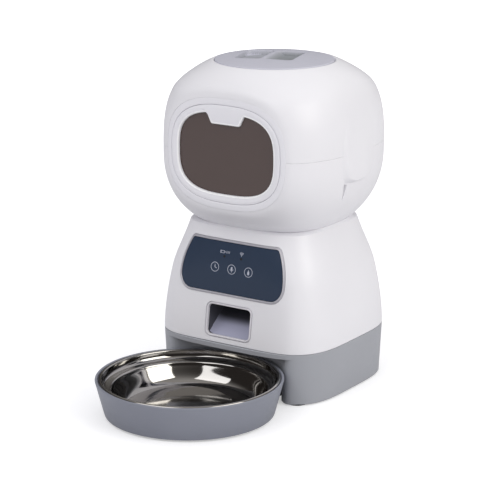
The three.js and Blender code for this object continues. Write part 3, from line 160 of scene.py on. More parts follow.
def shell(outer, inner, keep=None, wrap_cols=True):
    """A wall between two skins that share one grid: both skins without the cells left out, and a strip along
    every open edge, so the wall is closed."""
    rows, cols = outer.shape[:2]
    quads = grid_faces(rows, cols, wrap_cols=wrap_cols)
    if keep is not None:
        quads = quads[keep.reshape(-1)]
    count = rows * cols
    a, b = open_edges(quads, count).T
    strip = np.stack([b, a, a + count, b + count], 1)
    faces = np.concatenate([quads, quads[:, ::-1] + count, strip])
    return closed(np.concatenate([outer.reshape(-1, 3), inner.reshape(-1, 3)]), faces)


def piece(name, bodies, material, rides="housing", stands_for=(), crease=32):
    """One object from closed bodies. Points that meet are welded, which closes seams and poles, and edges
    sharper than crease degrees stay crisp."""
    if isinstance(bodies, tuple):
        bodies = [bodies]
    points, faces, start = [], [], 0
    for body_points, body_faces in bodies:
        used, renumbered = np.unique(body_faces, return_inverse=True)
        points.append(body_points[used])
        faces.append(renumbered.reshape(body_faces.shape) + start)
        start += len(used)
    mesh = bpy.data.meshes.new(name)
    mesh.from_pydata(place(np.concatenate(points)), [], np.concatenate(faces))
    welded = bmesh.new()
    welded.from_mesh(mesh)
    bmesh.ops.remove_doubles(welded, verts=welded.verts, dist=2e-6)
    bmesh.ops.dissolve_degenerate(welded, edges=welded.edges, dist=1e-6)
    bmesh.ops.delete(welded, geom=[edge for edge in welded.edges if edge.is_wire], context="EDGES")
    welded.to_mesh(mesh)
    welded.free()
    mesh.shade_smooth()
    mesh.set_sharp_from_angle(angle=math.radians(crease))
    mesh.materials.append(material)
    made = bpy.data.objects.new(name, mesh)
    bpy.context.collection.objects.link(made)
    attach(made, rides)
    if stands_for:
        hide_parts(*stands_for)
    return made


def full_turn(steps):
    """Evenly spread directions round a whole turn."""
    return np.linspace(0, TURN, steps, endpoint=False)


def circles(profile, angle):
    """A ring for each (radius, height) of a profile, with a point in each direction."""
    radius, height = np.asarray(profile, float).T[:, :, None]
    return np.stack([radius * np.cos(angle), radius * np.sin(angle), height + 0 * angle], -1)


def lathe(profile, x=0, y=0, steps=144):
    """A closed profile of (radius, height) points turned about an upright axis at x, y."""
    return hoop(circles(profile, full_turn(steps)) + [x, y, 0])


def eased(profile, radius=0.5, steps=3):
    """A closed profile with each corner cut to a small round: a quadratic curve between two points set back
    from the corner by radius, or by half its shorter side."""
    profile = np.asarray(profile, float)
    before, after = np.roll(profile, 1, 0) - profile, np.roll(profile, -1, 0) - profile
    lengths = [np.linalg.norm(side, axis=1, keepdims=True) + 1e-9 for side in (before, after)]
    back = np.minimum(radius, np.minimum(*lengths) * 0.45)
    start, end = profile + before / lengths[0] * back, profile + after / lengths[1] * back
    t = np.linspace(0, 1, steps)[None, :, None]
    curve = start[:, None] * (1 - t) ** 2 + profile[:, None] * 2 * t * (1 - t) + end[:, None] * t**2
    return curve.reshape(-1, 2)


def eased_lathe(profile, radius=0.5, **where):
    """A turned body with eased corners; points on the axis stay where they are."""
    profile = np.asarray(profile, float)
    rounded = eased(profile, radius)
    rounded[:, 0] = np.where(np.repeat(profile[:, 0] < 1e-6, 3), 0, rounded[:, 0])
    return lathe(rounded, **where)


# ======== Outlines ========


def rounded_square(angle, half_x, half_y, corner):
    """|x/a|^n + |y/b|^n = 1 in the direction of each angle."""
    across = np.abs(np.cos(angle) / half_x) ** corner
    radius = (across + np.abs(np.sin(angle) / half_y) ** corner) ** (-1 / corner)
    return radius * np.cos(angle), radius * np.sin(angle)


def oval(halves, corner, steps=240, grow=0.0):
    """A closed rounded-square outline as flat points."""
    angle = full_turn(steps)
    return np.stack(rounded_square(angle, halves[0] + grow, halves[1] + grow, corner), -1)


def evenly(outline, spacing):
    """A closed outline with its points at an even spacing."""
    looped = np.concatenate([outline, outline[:1]])
    along = np.concatenate([[0], np.cumsum(np.linalg.norm(np.diff(looped, axis=0), axis=1))])
    at = np.linspace(0, along[-1], int(along[-1] / spacing), endpoint=False)
    return np.stack([np.interp(at, along, looped[:, i]) for i in (0, 1)], -1)


def blurred(loop, sigma, reach, axis=0):
    """A closed run of values, each averaged with up to reach neighbours on both sides, by the bell curve
    exp(-(k / sigma)^2 / 2) for the neighbour k steps away."""
    steps = np.arange(-reach, reach + 1)
    weights = np.exp(-0.5 * (steps / sigma) ** 2)
    return sum(np.roll(loop, k, axis) * w for k, w in zip(steps, weights / weights.sum()))


def softened(outline, spacing, blur):
    """An even outline blurred along its length, which rounds its corners."""
    return blurred(evenly(outline, spacing), blur / spacing, int(3 * blur / spacing) + 1)


def grown(outline, distance):
    """A closed anticlockwise outline moved outwards along its own normals."""
    along = np.roll(outline, -1, 0) - np.roll(outline, 1, 0)
    along /= np.linalg.norm(along, axis=1, keepdims=True)
    return outline + distance * np.stack([along[:, 1], -along[:, 0]], -1)


def rounded_box(half_x, half_y, radius, x=0, y=0, steps=8):
    """A rectangle with round corners."""
    angle = full_turn(4 * steps) + TURN / (8 * steps)
    side_x, side_y = np.sign(np.cos(angle)), np.sign(np.sin(angle))
    points = [x + side_x * (half_x - radius) + radius * np.cos(angle)]
    return np.stack([*points, y + side_y * (half_y - radius) + radius * np.sin(angle)], -1)


def star_level(outline, x, v):
    """How far out a point lies, as a multiple of an outline's reach in its direction from the origin."""
    direction = np.arctan2(outline[:, 1], outline[:, 0])
    order = np.argsort(direction)
    reach = np.hypot(*outline.T)[order]
    return np.hypot(x, v) / np.interp(np.arctan2(v, x), direction[order], reach, period=TURN)


def smooth_step(low, high, value):
    """0 below low, 1 above high, and 3t^2 - 2t^3 between them."""
    t = np.clip((value - low) / (high - low), 0, 1)
    return t * t * (3 - 2 * t)


def soft_min(a, b, width):
    """The lesser of two values, eased over width where they are close, by a quarter of it at most."""
    near = np.clip(width - np.abs(a - b), 0, None) / width
    return np.minimum(a, b) - near * near * width / 4


def cut_opening(skins, keep, outline, height, scale, fronts, aside=0.0):
    """Cuts an opening through both skins on their front: cells that reach into the outline go, and the points
    along the cut move onto it, straight out from its middle."""
    outer, outline = skins[0], evenly(outline, 0.3)
    inside = star_level(outline, outer[..., 0] - aside, (outer[..., 2] - height) * scale) < 1
    inside &= outer[..., 1] < 0
    hit = inside[:-1] | inside[1:]
    hit |= np.roll(hit, -1, 1)
    keep &= ~hit
    touched = np.zeros(inside.shape, bool)
    touched[:-1] |= hit
    touched[1:] |= hit
    touched |= np.roll(touched, 1, 1)
    border = touched & ~inside
    for skin, front in zip(skins, fronts):
        x, v = skin[border][:, 0] - aside, (skin[border][:, 2] - height) * scale
        level = star_level(outline, x, v)
        x, z = aside + x / level, height + v / level / scale
        skin[border] = np.stack([x, front(x, z), z], -1)


# ======== Colours and finishes ========


def linear(code, alpha=1.0):
    """An sRGB hex colour as linear red, green, blue and alpha."""
    shares = [int(code[i : i + 2], 16) / 255 for i in (0, 2, 4)]
    return tuple(s / 12.92 if s <= 0.04045 else ((s + 0.055) / 1.055) ** 2.4 for s in shares) + (alpha,)


def node(tree, kind, inputs=(), **settings):
    """Adds one node. settings are its own properties, and inputs gives each socket a value or a link."""
    made = tree.nodes.new(kind)
    for key, value in settings.items():
        setattr(made, key, value)
    for key, value in dict(inputs).items():
        if isinstance(value, bpy.types.NodeSocket):
            tree.links.new(value, made.inputs[key])
        else:
            made.inputs[key].default_value = value
    return made


FINISHES = {}  # each material by the name it is given here


def start_material(name):
    """An empty material and its tree."""
    made = bpy.data.materials.new(name)
    FINISHES[name] = made
    made.use_nodes = True
    made.node_tree.nodes.clear()
    return made, made.node_tree


def end_material(tree, inputs):
    """The shader with its inputs, joined to the material's output."""
    shader = node(tree, "ShaderNodeBsdfPrincipled", inputs)
    node(tree, "ShaderNodeOutputMaterial", {"Surface": shader.outputs["BSDF"]})


def end_worked(tree, colours, rough, drift, relief, tone, dull, height, shader):
    """Ends a material whose colour runs between two by the share tone, whose roughness drifts about rough by
    the share dull, and whose bump is height, relief millimetres high."""
    colour, shade = colours
    tint = node(tree, "ShaderNodeMix", {0: tone, 6: linear(colour), 7: linear(shade)}, data_type="RGBA")
    span = {"Value": dull, "From Min": 0.3, "From Max": 0.7}
    span |= {"To Min": max(rough - drift, 0.02), "To Max": rough + drift}
    gloss = node(tree, "ShaderNodeMapRange", span)
    bump = node(tree, "ShaderNodeBump", {"Height": height, "Strength": 1.0, "Distance": relief * MILLI})
    sockets = {"Base Color": tint.outputs[2], "Roughness": gloss.outputs[0], "Normal": bump.outputs[0]}
    end_material(tree, sockets | shader)


def plastic(name, colour, shade, rough, grain=0.7, relief=0.012, drift=0.05, **shader):
    """A moulded plastic: its colour drifts to shade in broad clouds, its roughness in smaller ones, and a
    fine bump of grain millimetres stands relief millimetres high."""
    made, tree = start_material(name)
    spot = node(tree, "ShaderNodeTexCoord").outputs["Object"]
    sizes = ((22.0, 3.0), (190.0, 4.0), (1 / (grain * MILLI), 2.0))
    noises = [
        node(tree, "ShaderNodeTexNoise", {"Vector": spot, "Scale": scale, "Detail": detail}).outputs["Fac"]
        for scale, detail in sizes
    ]
    end_worked(tree, (colour, shade), rough, drift, relief, *noises, {"IOR": 1.53} | shader)
    return made


def metal(name, colour, shade, rough, line, stretch, relief, centre=None, drift=0.04):
    """A worked metal: fine lines of line millimetres, drawn along stretch, or round an upright axis at
    centre, where a polishing mop or lathe tool went."""
    made, tree = start_material(name)
    spot = node(tree, "ShaderNodeTexCoord").outputs["Object"]
    moving = {"Vector": spot, "Scale": stretch} | ({"Location": centre} if centre else {})
    along = node(tree, "ShaderNodeMapping", moving).outputs[0]
    if centre:
        flat = node(tree, "ShaderNodeVectorMath", {0: along, 1: (1.0, 1.0, 0.0)}, operation="MULTIPLY")
        length = node(tree, "ShaderNodeVectorMath", {0: flat.outputs[0]}, operation="LENGTH")
        along = node(tree, "ShaderNodeCombineXYZ", {"X": length.outputs["Value"]}).outputs[0]
    lines, clouds = (
        node(tree, "ShaderNodeTexNoise", {"Vector": vector, "Scale": scale, "Detail": 3.0}).outputs["Fac"]
        for vector, scale in ((along, 1 / (line * MILLI)), (spot, 60.0))
    )
    end_worked(tree, (colour, shade), rough, drift, relief, lines, clouds, lines, {"Metallic": 1.0})
    return made


# Satin ABS, injection moulded: bright white with soft broad highlights and no grain that the eye can name.
thin_gloss = {"Coat Weight": 0.06, "Coat Roughness": 0.25}
shell_abs = plastic("shell_abs", "e9e8ed", "e5e4e9", 0.4, grain=1.6, relief=0.004, **thin_gloss)
# The same ABS with a spark-eroded face: a little greyer and flatter than the shells round it.
face_abs = plastic("face_abs", "ebeaf0", "e6e5eb", 0.42, grain=0.8, relief=0.01)
# The frame's lip is the same ABS, polished, in a brighter white: a painted highlight that draws a white line
# round the window.
highlight_edge_abs = plastic("highlight_edge_abs", "fbfbfd", "f8f8fb", 0.2, grain=0.8, relief=0.001)
# Light grey satin ABS: cool, even, with a soft sheen.
lid_abs = plastic("lid_abs", "c9c9d5", "c3c3cf", 0.38, grain=0.8, relief=0.008)
# Mid grey satin ABS: a fine moulded texture takes the shine off the big plain walls.
base_abs = plastic("base_abs", "a4a6ad", "9fa1a8", 0.44, grain=0.6, relief=0.012)
# Blue-grey satin ABS: smoother than the base, so it shows a soft upright highlight.
tray_abs = plastic("tray_abs", "888b97", "7f828e", 0.36, grain=0.8, relief=0.006)
# Lavender-grey ABS, polished where kibble slides: dull but even, with painted shade that darkens it further
# in.
chute_abs = plastic("chute_abs", "b6b7cf", "b0b1c9", 0.42, grain=1.0, relief=0.006)
# The duct round the ramp is the same ABS painted a dark grey for the shade inside it, so the outlet looks
# deep.
duct_shade_abs = plastic("duct_shade_abs", "585861", "4f4f58", 0.5, grain=1.0, relief=0.01)
# Silver-grey gloss ABS: fine metallic paint gives a quiet bright rim.
silver_paint = {"drift": 0.02, "Metallic": 0.25}
trim_silver = plastic("trim_silver", "cdcbd3", "c4c2ca", 0.3, grain=0.9, relief=0.0012, **silver_paint)
# The outlet's frame is pale gloss ABS, hardly darker than the shell.
outlet_trim = plastic("outlet_trim", "e2e0e6", "dad8de", 0.32, grain=0.9, relief=0.0012)
# Back-painted acrylic: a deep even navy under a polished clear face.
panel_navy = plastic("panel_navy", "2f3d53", "2c394e", 0.34, grain=3.0, relief=0.0008, drift=0.02, IOR=1.46)
# Screen-printed white ink: matt, a hair's breadth thick.
panel_ink = plastic("panel_ink", "c3c7d6", "b4b8c8", 0.5, grain=0.3, relief=0.004)
# Smoked polycarbonate: brown and nearly closed from outside, glossy as glass.
smoked = {"drift": 0.03, "Transmission Weight": 0.1, "Coat Weight": 0.3, "Coat Roughness": 0.05}
smoked_pane = plastic("smoked_pane", "4f3e3a", "4b3a36", 0.12, grain=6.0, relief=0.002, **smoked)
# Plain white ABS inside the food path: duller and less even than the outer shells.
inner_abs = plastic("inner_abs", "d6d6d9", "cbcbcf", 0.48, grain=0.9, relief=0.012)
# Black ABS with a coarse moulded texture: matt, and grey only where light grazes it.
black_abs = plastic("black_abs", "1c1c1e", "151517", 0.52, grain=0.5, relief=0.03)
# Natural nylon: milky and slightly see-through at its edges.
milky = {"Subsurface Weight": 0.15, "Subsurface Scale": 0.001}
plastic("nylon", "ecebe0", "e3e1d3", 0.45, grain=0.6, relief=0.008, **milky)
# Soft moulded elastomer: cream, with a dry powdery sheen.
plastic("soft_vane", "d9d5ca", "cdc8bb", 0.7, grain=0.5, relief=0.02, **{"Sheen Weight": 0.2})
# Silicone rubber: milky, soft-looking, picks up dust.
milky = {"Subsurface Weight": 0.2, "Subsurface Scale": 0.001}
seal_silicone = plastic("seal_silicone", "e2e2e6", "d6d6db", 0.55, grain=0.4, relief=0.01, **milky)
# Natural rubber, moulded: black, matt, slightly chalky.
foot_rubber = plastic("foot_rubber", "181818", "232323", 0.78, grain=0.4, relief=0.03)
# Epoxy solder mask over copper: green with a wet gloss.
wet_gloss = {"Coat Weight": 0.3, "Coat Roughness": 0.15}
plastic("board_green", "1f6a40", "185634", 0.3, grain=1.2, relief=0.01, **wet_gloss)
# Clear polycarbonate lens: pale and bright.
clear = {"Transmission Weight": 0.5}
plastic("lamp_clear", "dfe6ec", "d2dae2", 0.15, grain=1.0, relief=0.003, **clear)
# Shrunk PVC sleeve on a cell: dark, glossy, faintly wrinkled.
plastic("cell_wrap", "3b3f48", "31353d", 0.3, grain=2.5, relief=0.03)

# Stainless steel, deep drawn and mopped to a mirror: rings from the mop only show close by.
mopped = {"centre": (0.0, -(TRAY_Y + AXIS_Y) * MILLI, 0.0), "drift": 0.025}
bowl_steel = metal("bowl_steel", "c4c2c0", "b8b5b2", 0.075, 0.8, (1.0, 1.0, 1.0), 0.0012, **mopped)
# Ground steel shaft: fine rings round it.
metal("shaft_steel", "bdbec2", "a5a6aa", 0.24, 0.3, (0.1, 0.1, 1.0), 0.003)
# Deep-drawn zinc-plated can: upright draw lines and a blue-grey bloom.
metal("motor_can", "b4b6ba", "9c9ea3", 0.34, 0.5, (1.0, 1.0, 0.05), 0.004)
# Bright nickel-plated spring strip.
metal("spring_steel", "c6c7ca", "aeafb3", 0.22, 0.3, (1.0, 0.15, 1.0), 0.002)
# Sintered brass, turned: warm, finely ringed.
metal("bush_brass", "c9a04e", "b08a40", 0.32, 0.25, (0.1, 0.1, 1.0), 0.004)


def lay_over(material, colour, share):
    """Lays another colour over a material's own, by a share from its tree."""
    tree = material.node_tree
    base = next(n for n in tree.nodes if n.type == "BSDF_PRINCIPLED").inputs["Base Color"]
    plain = base.links[0].from_socket
    both = node(tree, "ShaderNodeMix", {0: share, 6: plain, 7: linear(colour)}, data_type="RGBA")
    tree.links.new(both.outputs[2], base)


def painted_depth_shade(tree):
    """A share of painted shade that grows inwards from some way behind the chute's mouth, where the duct's
    roof shades the ramp.
    """
    spot = node(tree, "ShaderNodeTexCoord").outputs["Object"]
    inwards = node(tree, "ShaderNodeSeparateXYZ", {0: spot}).outputs["Y"]
    start, end = ((AXIS_Y - 78) * MILLI + step * MILLI for step in (9, 19))
    span = {"Value": inwards, "From Min": start, "From Max": end}
    return node(tree, "ShaderNodeMapRange", span, interpolation_type="SMOOTHSTEP").outputs[0]


# Painted shade: the ramp turns dark grey from some way behind the mouth inwards, for the shadow under the
# duct's roof.
lay_over(chute_abs, "42424a", painted_depth_shade(chute_abs.node_tree))
# The lid's scoops carry painted shade: a darker, plainer grey laid over their colour.
scoop_shade_share = node(lid_abs.node_tree, "ShaderNodeAttribute", attribute_name="scoop").outputs["Fac"]
lay_over(lid_abs, "767c7d", scoop_shade_share)

# Every node of the frame wears the finish that its material slot names.
for part in frame["record"]["subparts"]:
    carried = frame["nodes"][part["node"]]
    finish = FINISHES[part["material_slot"]]
    if not carried.material_slots:
        carried.data.materials.append(finish)
    for slot in carried.material_slots:
        slot.material = finish


# ======== Head ========


def share_at(length, reach, power):
    """The share of a width that is left after a length: (1 - (length / reach)^power)^(1 / power)."""
    return (1 - np.minimum(np.abs(length) / reach, 1) ** power) ** (1 / power)


def reach_for(length, share, power):
    """The reach of such a profile that has narrowed to a share of its width after a length."""
    return length / (1 - share**power) ** (1 / power)


DROP = HEAD_WAIST - HEAD_BOTTOM
RISE = HEAD_TOP - HEAD_WAIST
DROP_POWERS = (2.24, 2.3)
RISE_POWER = 3.2
DROP_REACH = [reach_for(DROP, NECK_HALF[i] / HEAD_HALF[i], DROP_POWERS[i]) for i in (0, 1)]
RISE_REACH = [reach_for(RISE, CROWN_HALF[i] / HEAD_HALF[i], RISE_POWER) for i in (0, 1)]


def head_halves(z, inset=0.0):
    """The head's half width and half depth at a height, narrowing up and down from its waist, moved in by
    inset."""
    length, above = z - HEAD_WAIST, z > HEAD_WAIST
    halves = []
    for half, drop, power, rise in zip(HEAD_HALF, DROP_REACH, DROP_POWERS, RISE_REACH):
        up, down = share_at(length, rise - inset, RISE_POWER), share_at(length, drop - inset, power)
        halves.append((half - inset) * np.where(above, up, down))
    return halves


def head_corner(z):
    """The outline's exponent: 3 on the sides, easing to nearly round over the top."""
    return 3 - 0.9 * smooth_step(HEAD_TOP - 26, HEAD_TOP, z)


def face_at(inset):
    """Depth of the flat face, or of the back of what is stacked behind it."""
    return FACE_DEPTH - (FACE_STACK if inset else 0)


def head_front(x, z, inset=0.0):
    """The head's front at x and z: its rounded-square outline, eased into the flat face."""
    half_x, half_y = head_halves(z, inset)
    return -soft_min(half_y * share_at(x, half_x, head_corner(z)), face_at(inset), FACE_SOFT)


def fronted_ring(angle, z, halves, corner, face, soft):
    """Rings at each height: a rounded-square outline whose front is eased over soft into a face."""
    x, y = rounded_square(angle, *halves, corner)
    y = np.where(y < 0, -soft_min(-y, face, soft), y)
    return np.stack(np.broadcast_arrays(x, y, z), -1)


def head_ring(angle, z, inset=0.0):
    """Rings of the head at each height: the rounded-square outline, its front eased into the face."""
    return fronted_ring(angle, z, head_halves(z, inset), head_corner(z), face_at(inset), FACE_SOFT)


SLIT_ANGLE = math.radians(13.3)  # the slit under each side ear runs this far ahead of the side
SLITS = (TURN - SLIT_ANGLE, TURN / 2 + SLIT_ANGLE)
SLIT_TOP, SLIT_FOOT = 216.5, 196.5
SLIT_HALF, SLIT_DEPTH, SLIT_LIP = 2.7, 4.5, 0.35


def head_angles():
    """Directions round the head, closer together along the two slits."""
    even = full_turn(400)
    fine = np.linspace(-0.06, 0.06, 31)
    spare = [even[np.abs(even - slit) > 0.062] for slit in SLITS]
    return np.sort(np.concatenate([np.intersect1d(*spare), *[slit + fine for slit in SLITS]]))


def pinch_slits(skin, angle):
    """Presses a tapering slit into each side: full depth within its half width, which narrows downwards, with
    crisp sides."""
    x, y, z = (skin[..., i] for i in range(3))
    down = np.clip((SLIT_TOP - z) / (SLIT_TOP - SLIT_FOOT), 0, 1)
    half = SLIT_HALF * (1 - down) ** 0.9
    for slit in SLITS:
        aside = np.abs(angle - slit) * np.hypot(x, y)
        depth = SLIT_DEPTH * smooth_step(0.4, -0.5, aside - half) * (z < SLIT_TOP + 0.1) * (down < 1)
        lip = SLIT_LIP * np.exp(-(((aside - half - 1.2) / 0.9) ** 2)) * (z < SLIT_TOP) * (1 - down)
        skin[..., 0] -= np.sign(x) * (depth - lip)


def face_opening(skins, keep):
    """Opens both skins of a head shell for the face bezel."""
    outline = oval(BEZEL_HALF, FRAME_CORNER, 720, grow=PART_GAP)
    fronts = [head_front, lambda x, z: head_front(x, z, WALL)]
    cut_opening(skins, keep, outline, WINDOW_Z, 1.0, fronts)


def head_lower():
    """From the neck up to the parting: rings of the head outside, the same moved in by the wall inside."""
    angle = head_angles()[None, :]
    edge = PART_GAP / 2
    levels = HEAD_BOTTOM + (HEAD_PARTING - edge - 0.25 - HEAD_BOTTOM) * np.linspace(0, 1, 54) ** 0.92
    z = np.concatenate([levels, [HEAD_PARTING - edge]])[:, None]
    outer, inner = head_ring(angle, z), head_ring(angle, z, WALL)
    outer[-1, :, :2] *= 1 - 0.2 / 95
    pinch_slits(outer, angle)
    pinch_slits(inner, angle)
    keep = np.ones((len(z) - 1, angle.size), bool)
    face_opening((outer, inner), keep)
    return shell(outer, inner, keep)


def head_upper():
    """From the parting up over the crown, down the lid's seat and the collar; inside, the wall, the roof and
    the collar's outer side."""
    angle = full_turn(420)[None, :]
    edge = PART_GAP / 2
    rise = HEAD_TOP - HEAD_PARTING - edge - 0.25
    levels = HEAD_PARTING + edge + 0.25 + rise * np.sin(np.linspace(0, 1, 52) * math.pi / 2)
    z = np.concatenate([[HEAD_PARTING + edge], levels])[:, None]
    outer = head_ring(angle, z)
    outer[0, :, :2] *= 1 - 0.2 / 95
    inner = head_ring(angle, np.minimum(z, HEAD_TOP - WALL), WALL)
    seal_seat = LID_SEAT - 2.3
    low = HEAD_TOP - 20.5
    bore = [(LID_HOLE + 0.9, HEAD_TOP + 0.1), (LID_HOLE + 0.35, HEAD_TOP - 0.1), (LID_HOLE, HEAD_TOP - 0.6)]
    bore += [(LID_HOLE, HEAD_TOP - 3), (LID_HOLE, seal_seat), (COLLAR_RADIUS + 0.3, seal_seat)]
    bore += [(COLLAR_RADIUS, seal_seat - 0.3), (COLLAR_RADIUS, low + 6), (COLLAR_RADIUS, low + 0.3)]
    outside = COLLAR_RADIUS + WALL
    back = [(61.5, HEAD_TOP - WALL), (61, HEAD_TOP - WALL), (60.6, HEAD_TOP - 2.6)]
    back += [(LID_HOLE + 1.4, HEAD_TOP - 4), (LID_HOLE + 1.4, seal_seat - 1), (outside, seal_seat - WALL)]
    back += [(outside, seal_seat - 3), (outside, low + 6), (outside, low)]
    outer = np.concatenate([outer, circles(bore, angle)])
    inner = np.concatenate([inner, circles(back, angle)])
    keep = np.ones((len(outer) - 1, angle.size), bool)
    face_opening((outer, inner), keep)
    return shell(outer, inner, keep)


LUGS = [math.radians(90 + 120 * i) for i in range(3)]
LEDGE_Z = HEAD_TOP - 17.8


def arc_block(inner, outer, start, end, low, high, edge=0.3):
    """A block between two radii and two directions: an eased rectangle carried round the axis."""
    corners = eased([(inner, low), (outer, low), (outer, high), (inner, high)], edge)
    return capped(circles(corners, np.linspace(start, end, 24)).transpose(1, 0, 2))


def lid_ledges():
    """The collar's ledge in three arcs, with the notches that the lid's lugs pass."""
    half = math.radians(15)
    third = TURN / 3
    arcs = [(direction + half, direction + third - half) for direction in LUGS]
    inner, outer = COLLAR_RADIUS - 2.4, COLLAR_RADIUS + 1
    return [arc_block(inner, outer, *arc, LEDGE_Z, LEDGE_Z + 2.5) for arc in arcs]


piece("head_lower_skin", head_lower(), shell_abs, "housing", ["head_lower_shell"])
upper = [head_upper(), *lid_ledges()]
piece("head_upper_skin", upper, shell_abs, "housing", ["head_upper_shell"])


# ======== Face: bezel, window frame, pane ========


def on_face(outline, depth):
    """Flat face points set against the head's eased front, depth millimetres proud of it."""
    x, z = outline[:, 0], outline[:, 1] + WINDOW_Z
    return np.stack([x, head_front(x, z) - depth, z], -1)


def at_depth(outline, depth):
    """Flat face points at a plain depth from the face plane."""
    x, z = outline[:, 0], outline[:, 1] + WINDOW_Z
    return np.stack([x, np.full(len(x), -FACE_DEPTH - depth), z], -1)


def face_bezel():
    """A ring between two rounded-square outlines that follows the eased face, with small round edges."""
    outer, inner = oval(BEZEL_HALF, FRAME_CORNER, 360), oval(FRAME_HALF, FRAME_CORNER, 360, grow=0.25)
    loops = [at_depth(inner, -5), on_face(inner, -0.5), on_face(grown(inner, 0.15), -0.15)]
    loops += [on_face(grown(inner, 0.5), 0)]
    loops += [on_face(inner + (outer - inner) * share, 0) for share in (0.3, 0.5, 0.7, 0.85, 0.97)]
    loops += [on_face(outer, -0.1), at_depth(outer, -5)]
    return hoop(loops)


def window_outline():
    """The window: a rounded square whose top edge gives way to a tab between two ear-like corners."""
    angle = np.linspace(math.radians(61.3), math.radians(-241.3), 420)
    sweep = np.stack(rounded_square(angle, *WINDOW_HALF, WINDOW_CORNER), -1)
    root, tip, top, low = 21.0, 16.0, 38.4, 28.3
    sweep = sweep[(np.abs(sweep[:, 0]) > root) | (sweep[:, 1] < 0)]
    tab = np.array([(-root, top), (-tip, low), (tip, low), (root, top)])
    return softened(np.concatenate([sweep, tab])[::-1], 0.45, 1.0)


def spread(values, blur):
    """Directions round a loop with the steps between them blurred, so that none of them bunch up."""
    steps = np.diff(np.concatenate([values, values[:1] + TURN]))
    return values[0] + np.concatenate([[0], np.cumsum(blurred(steps, blur, 3 * blur))[:-1]])


def window_frame():
    """A ring from its own rounded-square outline in to the window's, slightly crowned, with a bright bevel
    round the window."""
    hole = window_outline()
    direction = np.unwrap(np.arctan2(hole[:, 1], hole[:, 0]))
    direction = spread(np.maximum.accumulate(direction), 24)
    rim = np.stack(rounded_square(direction, *FRAME_HALF, FRAME_CORNER), -1)
    edge = grown(hole, 1.9)
    loops = [at_depth(rim, -2.9), at_depth(rim, -0.5), at_depth(rim * (1 - 0.15 / 60), -0.15)]
    loops += [at_depth(rim * (1 - 0.5 / 60), 0)]
    for share in (0.2, 0.4, 0.6, 0.8):
        loops.append(at_depth(rim + (edge - rim) * share, 0.35 * math.sin(math.pi * share)))
    loops += [at_depth(edge, 0), at_depth(grown(hole, 1.7), -0.05), at_depth(grown(hole, 0.15), -1.35)]
    return hoop(loops + [at_depth(hole, -1.6), at_depth(hole, -2.9)])


def window_bead():
    """A fine polished lip round the window, between the frame's face and the pane; its brighter white is a
    painted highlight.
    """
    hole = window_outline()
    section = [(1.9, -0.3), (1.75, 0.12), (1.45, 0.24), (0.9, 0.1)]
    section += [(0.35, -0.35), (0.05, -1.0), (0.05, -1.8), (1.3, -1.8)]
    return hoop([at_depth(grown(hole, out), depth) for out, depth in section])


def pane_plate():
    """The smoked pane: a flat plate that laps behind the frame, with eased edges."""
    outline = oval(WINDOW_HALF, WINDOW_CORNER, 160, grow=3)
    front, back = -3.2, -5.0
    loops = [at_depth(outline * 0.3, front), at_depth(outline * 0.99, front), at_depth(outline, front - 0.4)]
    loops += [at_depth(outline, back + 0.3), at_depth(outline * 0.99, back), at_depth(outline * 0.3, back)]
    return capped(loops)


def face_flange():
    """The shells' flange behind the pane: a flat ring whose inner edge is the window's outline."""
    outer = oval(BEZEL_HALF, FRAME_CORNER, 240, grow=0.6)
    inner = oval(WINDOW_HALF, WINDOW_CORNER, 240, grow=0.3)
    section = [(outer, -5.35), (inner, -5.35), (inner, -7.2), (outer, -7.2)]
    return hoop([at_depth(outline, depth) for outline, depth in section])


piece("face_bezel_ring", face_bezel(), face_abs, "housing", ["face_bezel"], crease=50)
piece("window_frame_ring", window_frame(), face_abs, "housing", ["window_frame"], crease=40)
piece("window_bead", window_bead(), highlight_edge_abs, "housing")
piece("window_pane_plate", pane_plate(), smoked_pane, "housing", ["window_pane"])
piece("face_flange", face_flange(), inner_abs, "housing")


# ======== Side ears ========

EAR_HALF = (30.0, 35.0)
EAR_Z = 245.5
EAR_RISE, EAR_SUNK = 3.68, 0.35  # how far the lobe stands out, and how deep its edge goes in


def side_ear(side):
    """A lobe on the head's side: the head's own surface moved out by a height that is full at its lower lip,
    fades upwards and backwards, and drops to nothing over its edge, gently in front. Its outline is a rounded
    square, squarer at its lower front corner."""
    share = np.concatenate([np.linspace(0, 0.8, 22), np.linspace(0.82, 1.0, 26)])[:, None]
    angle = full_turn(200)[None, :]
    square = 2.6 + 4.5 * smooth_step(0.9, 0.3, np.abs(angle - math.radians(225)))
    y, rise = rounded_square(angle, *EAR_HALF, square)
    y, rise = y * share, rise * share
    z = EAR_Z + rise
    full = (1 - smooth_step(212, 278, z)) * (1 - 0.8 * smooth_step(6, 30, y))
    in_front = smooth_step(0.25, 0.85, -y / EAR_HALF[0])
    edge = smooth_step(1.0, 0.91 - 0.14 * in_front, share)
    height = EAR_RISE * full * edge - EAR_SUNK * (1 - edge)
    half_x, half_y = head_halves(z)
    x = half_x * share_at(y, half_y, head_corner(z))
    outer = np.stack([side * (x + height), y, z], -1)
    inner = np.stack([side * (x - 0.8), y, z], -1)
    return shell(outer, inner)


piece("side_ear_left_lobe", side_ear(-1), shell_abs, "housing", ["side_ear_left"])
piece("side_ear_right_lobe", side_ear(1), shell_abs, "housing", ["side_ear_right"])


# ======== Body ========

RIM_INNER_WIDTH, RIM_INNER_DEPTH = (float(half) for half in head_halves(np.array(BODY_TOP)))
FRONT_DEPTH = RIM_INNER_DEPTH + 1.8 + WALL + FRONT_SLOPE * (BODY_TOP - FRONT_Z)


def front_at(z):
    """How far the leaning front plane lies ahead of the axis at a height."""
    return FRONT_DEPTH - FRONT_SLOPE * (z - FRONT_Z)


BASE_HALF_DEPTH = front_at(57) + 2.5
DEPTH_RATIO = BASE_HALF_DEPTH / BASE_HALF_WIDTH
RIM_HALF = max(RIM_INNER_WIDTH + 1.3 + WALL, (RIM_INNER_DEPTH + 1.3 + WALL) / DEPTH_RATIO)
TAPER = reach_for(BODY_TOP - SKIRT_TOP, RIM_HALF / BASE_HALF_WIDTH, 1.7)


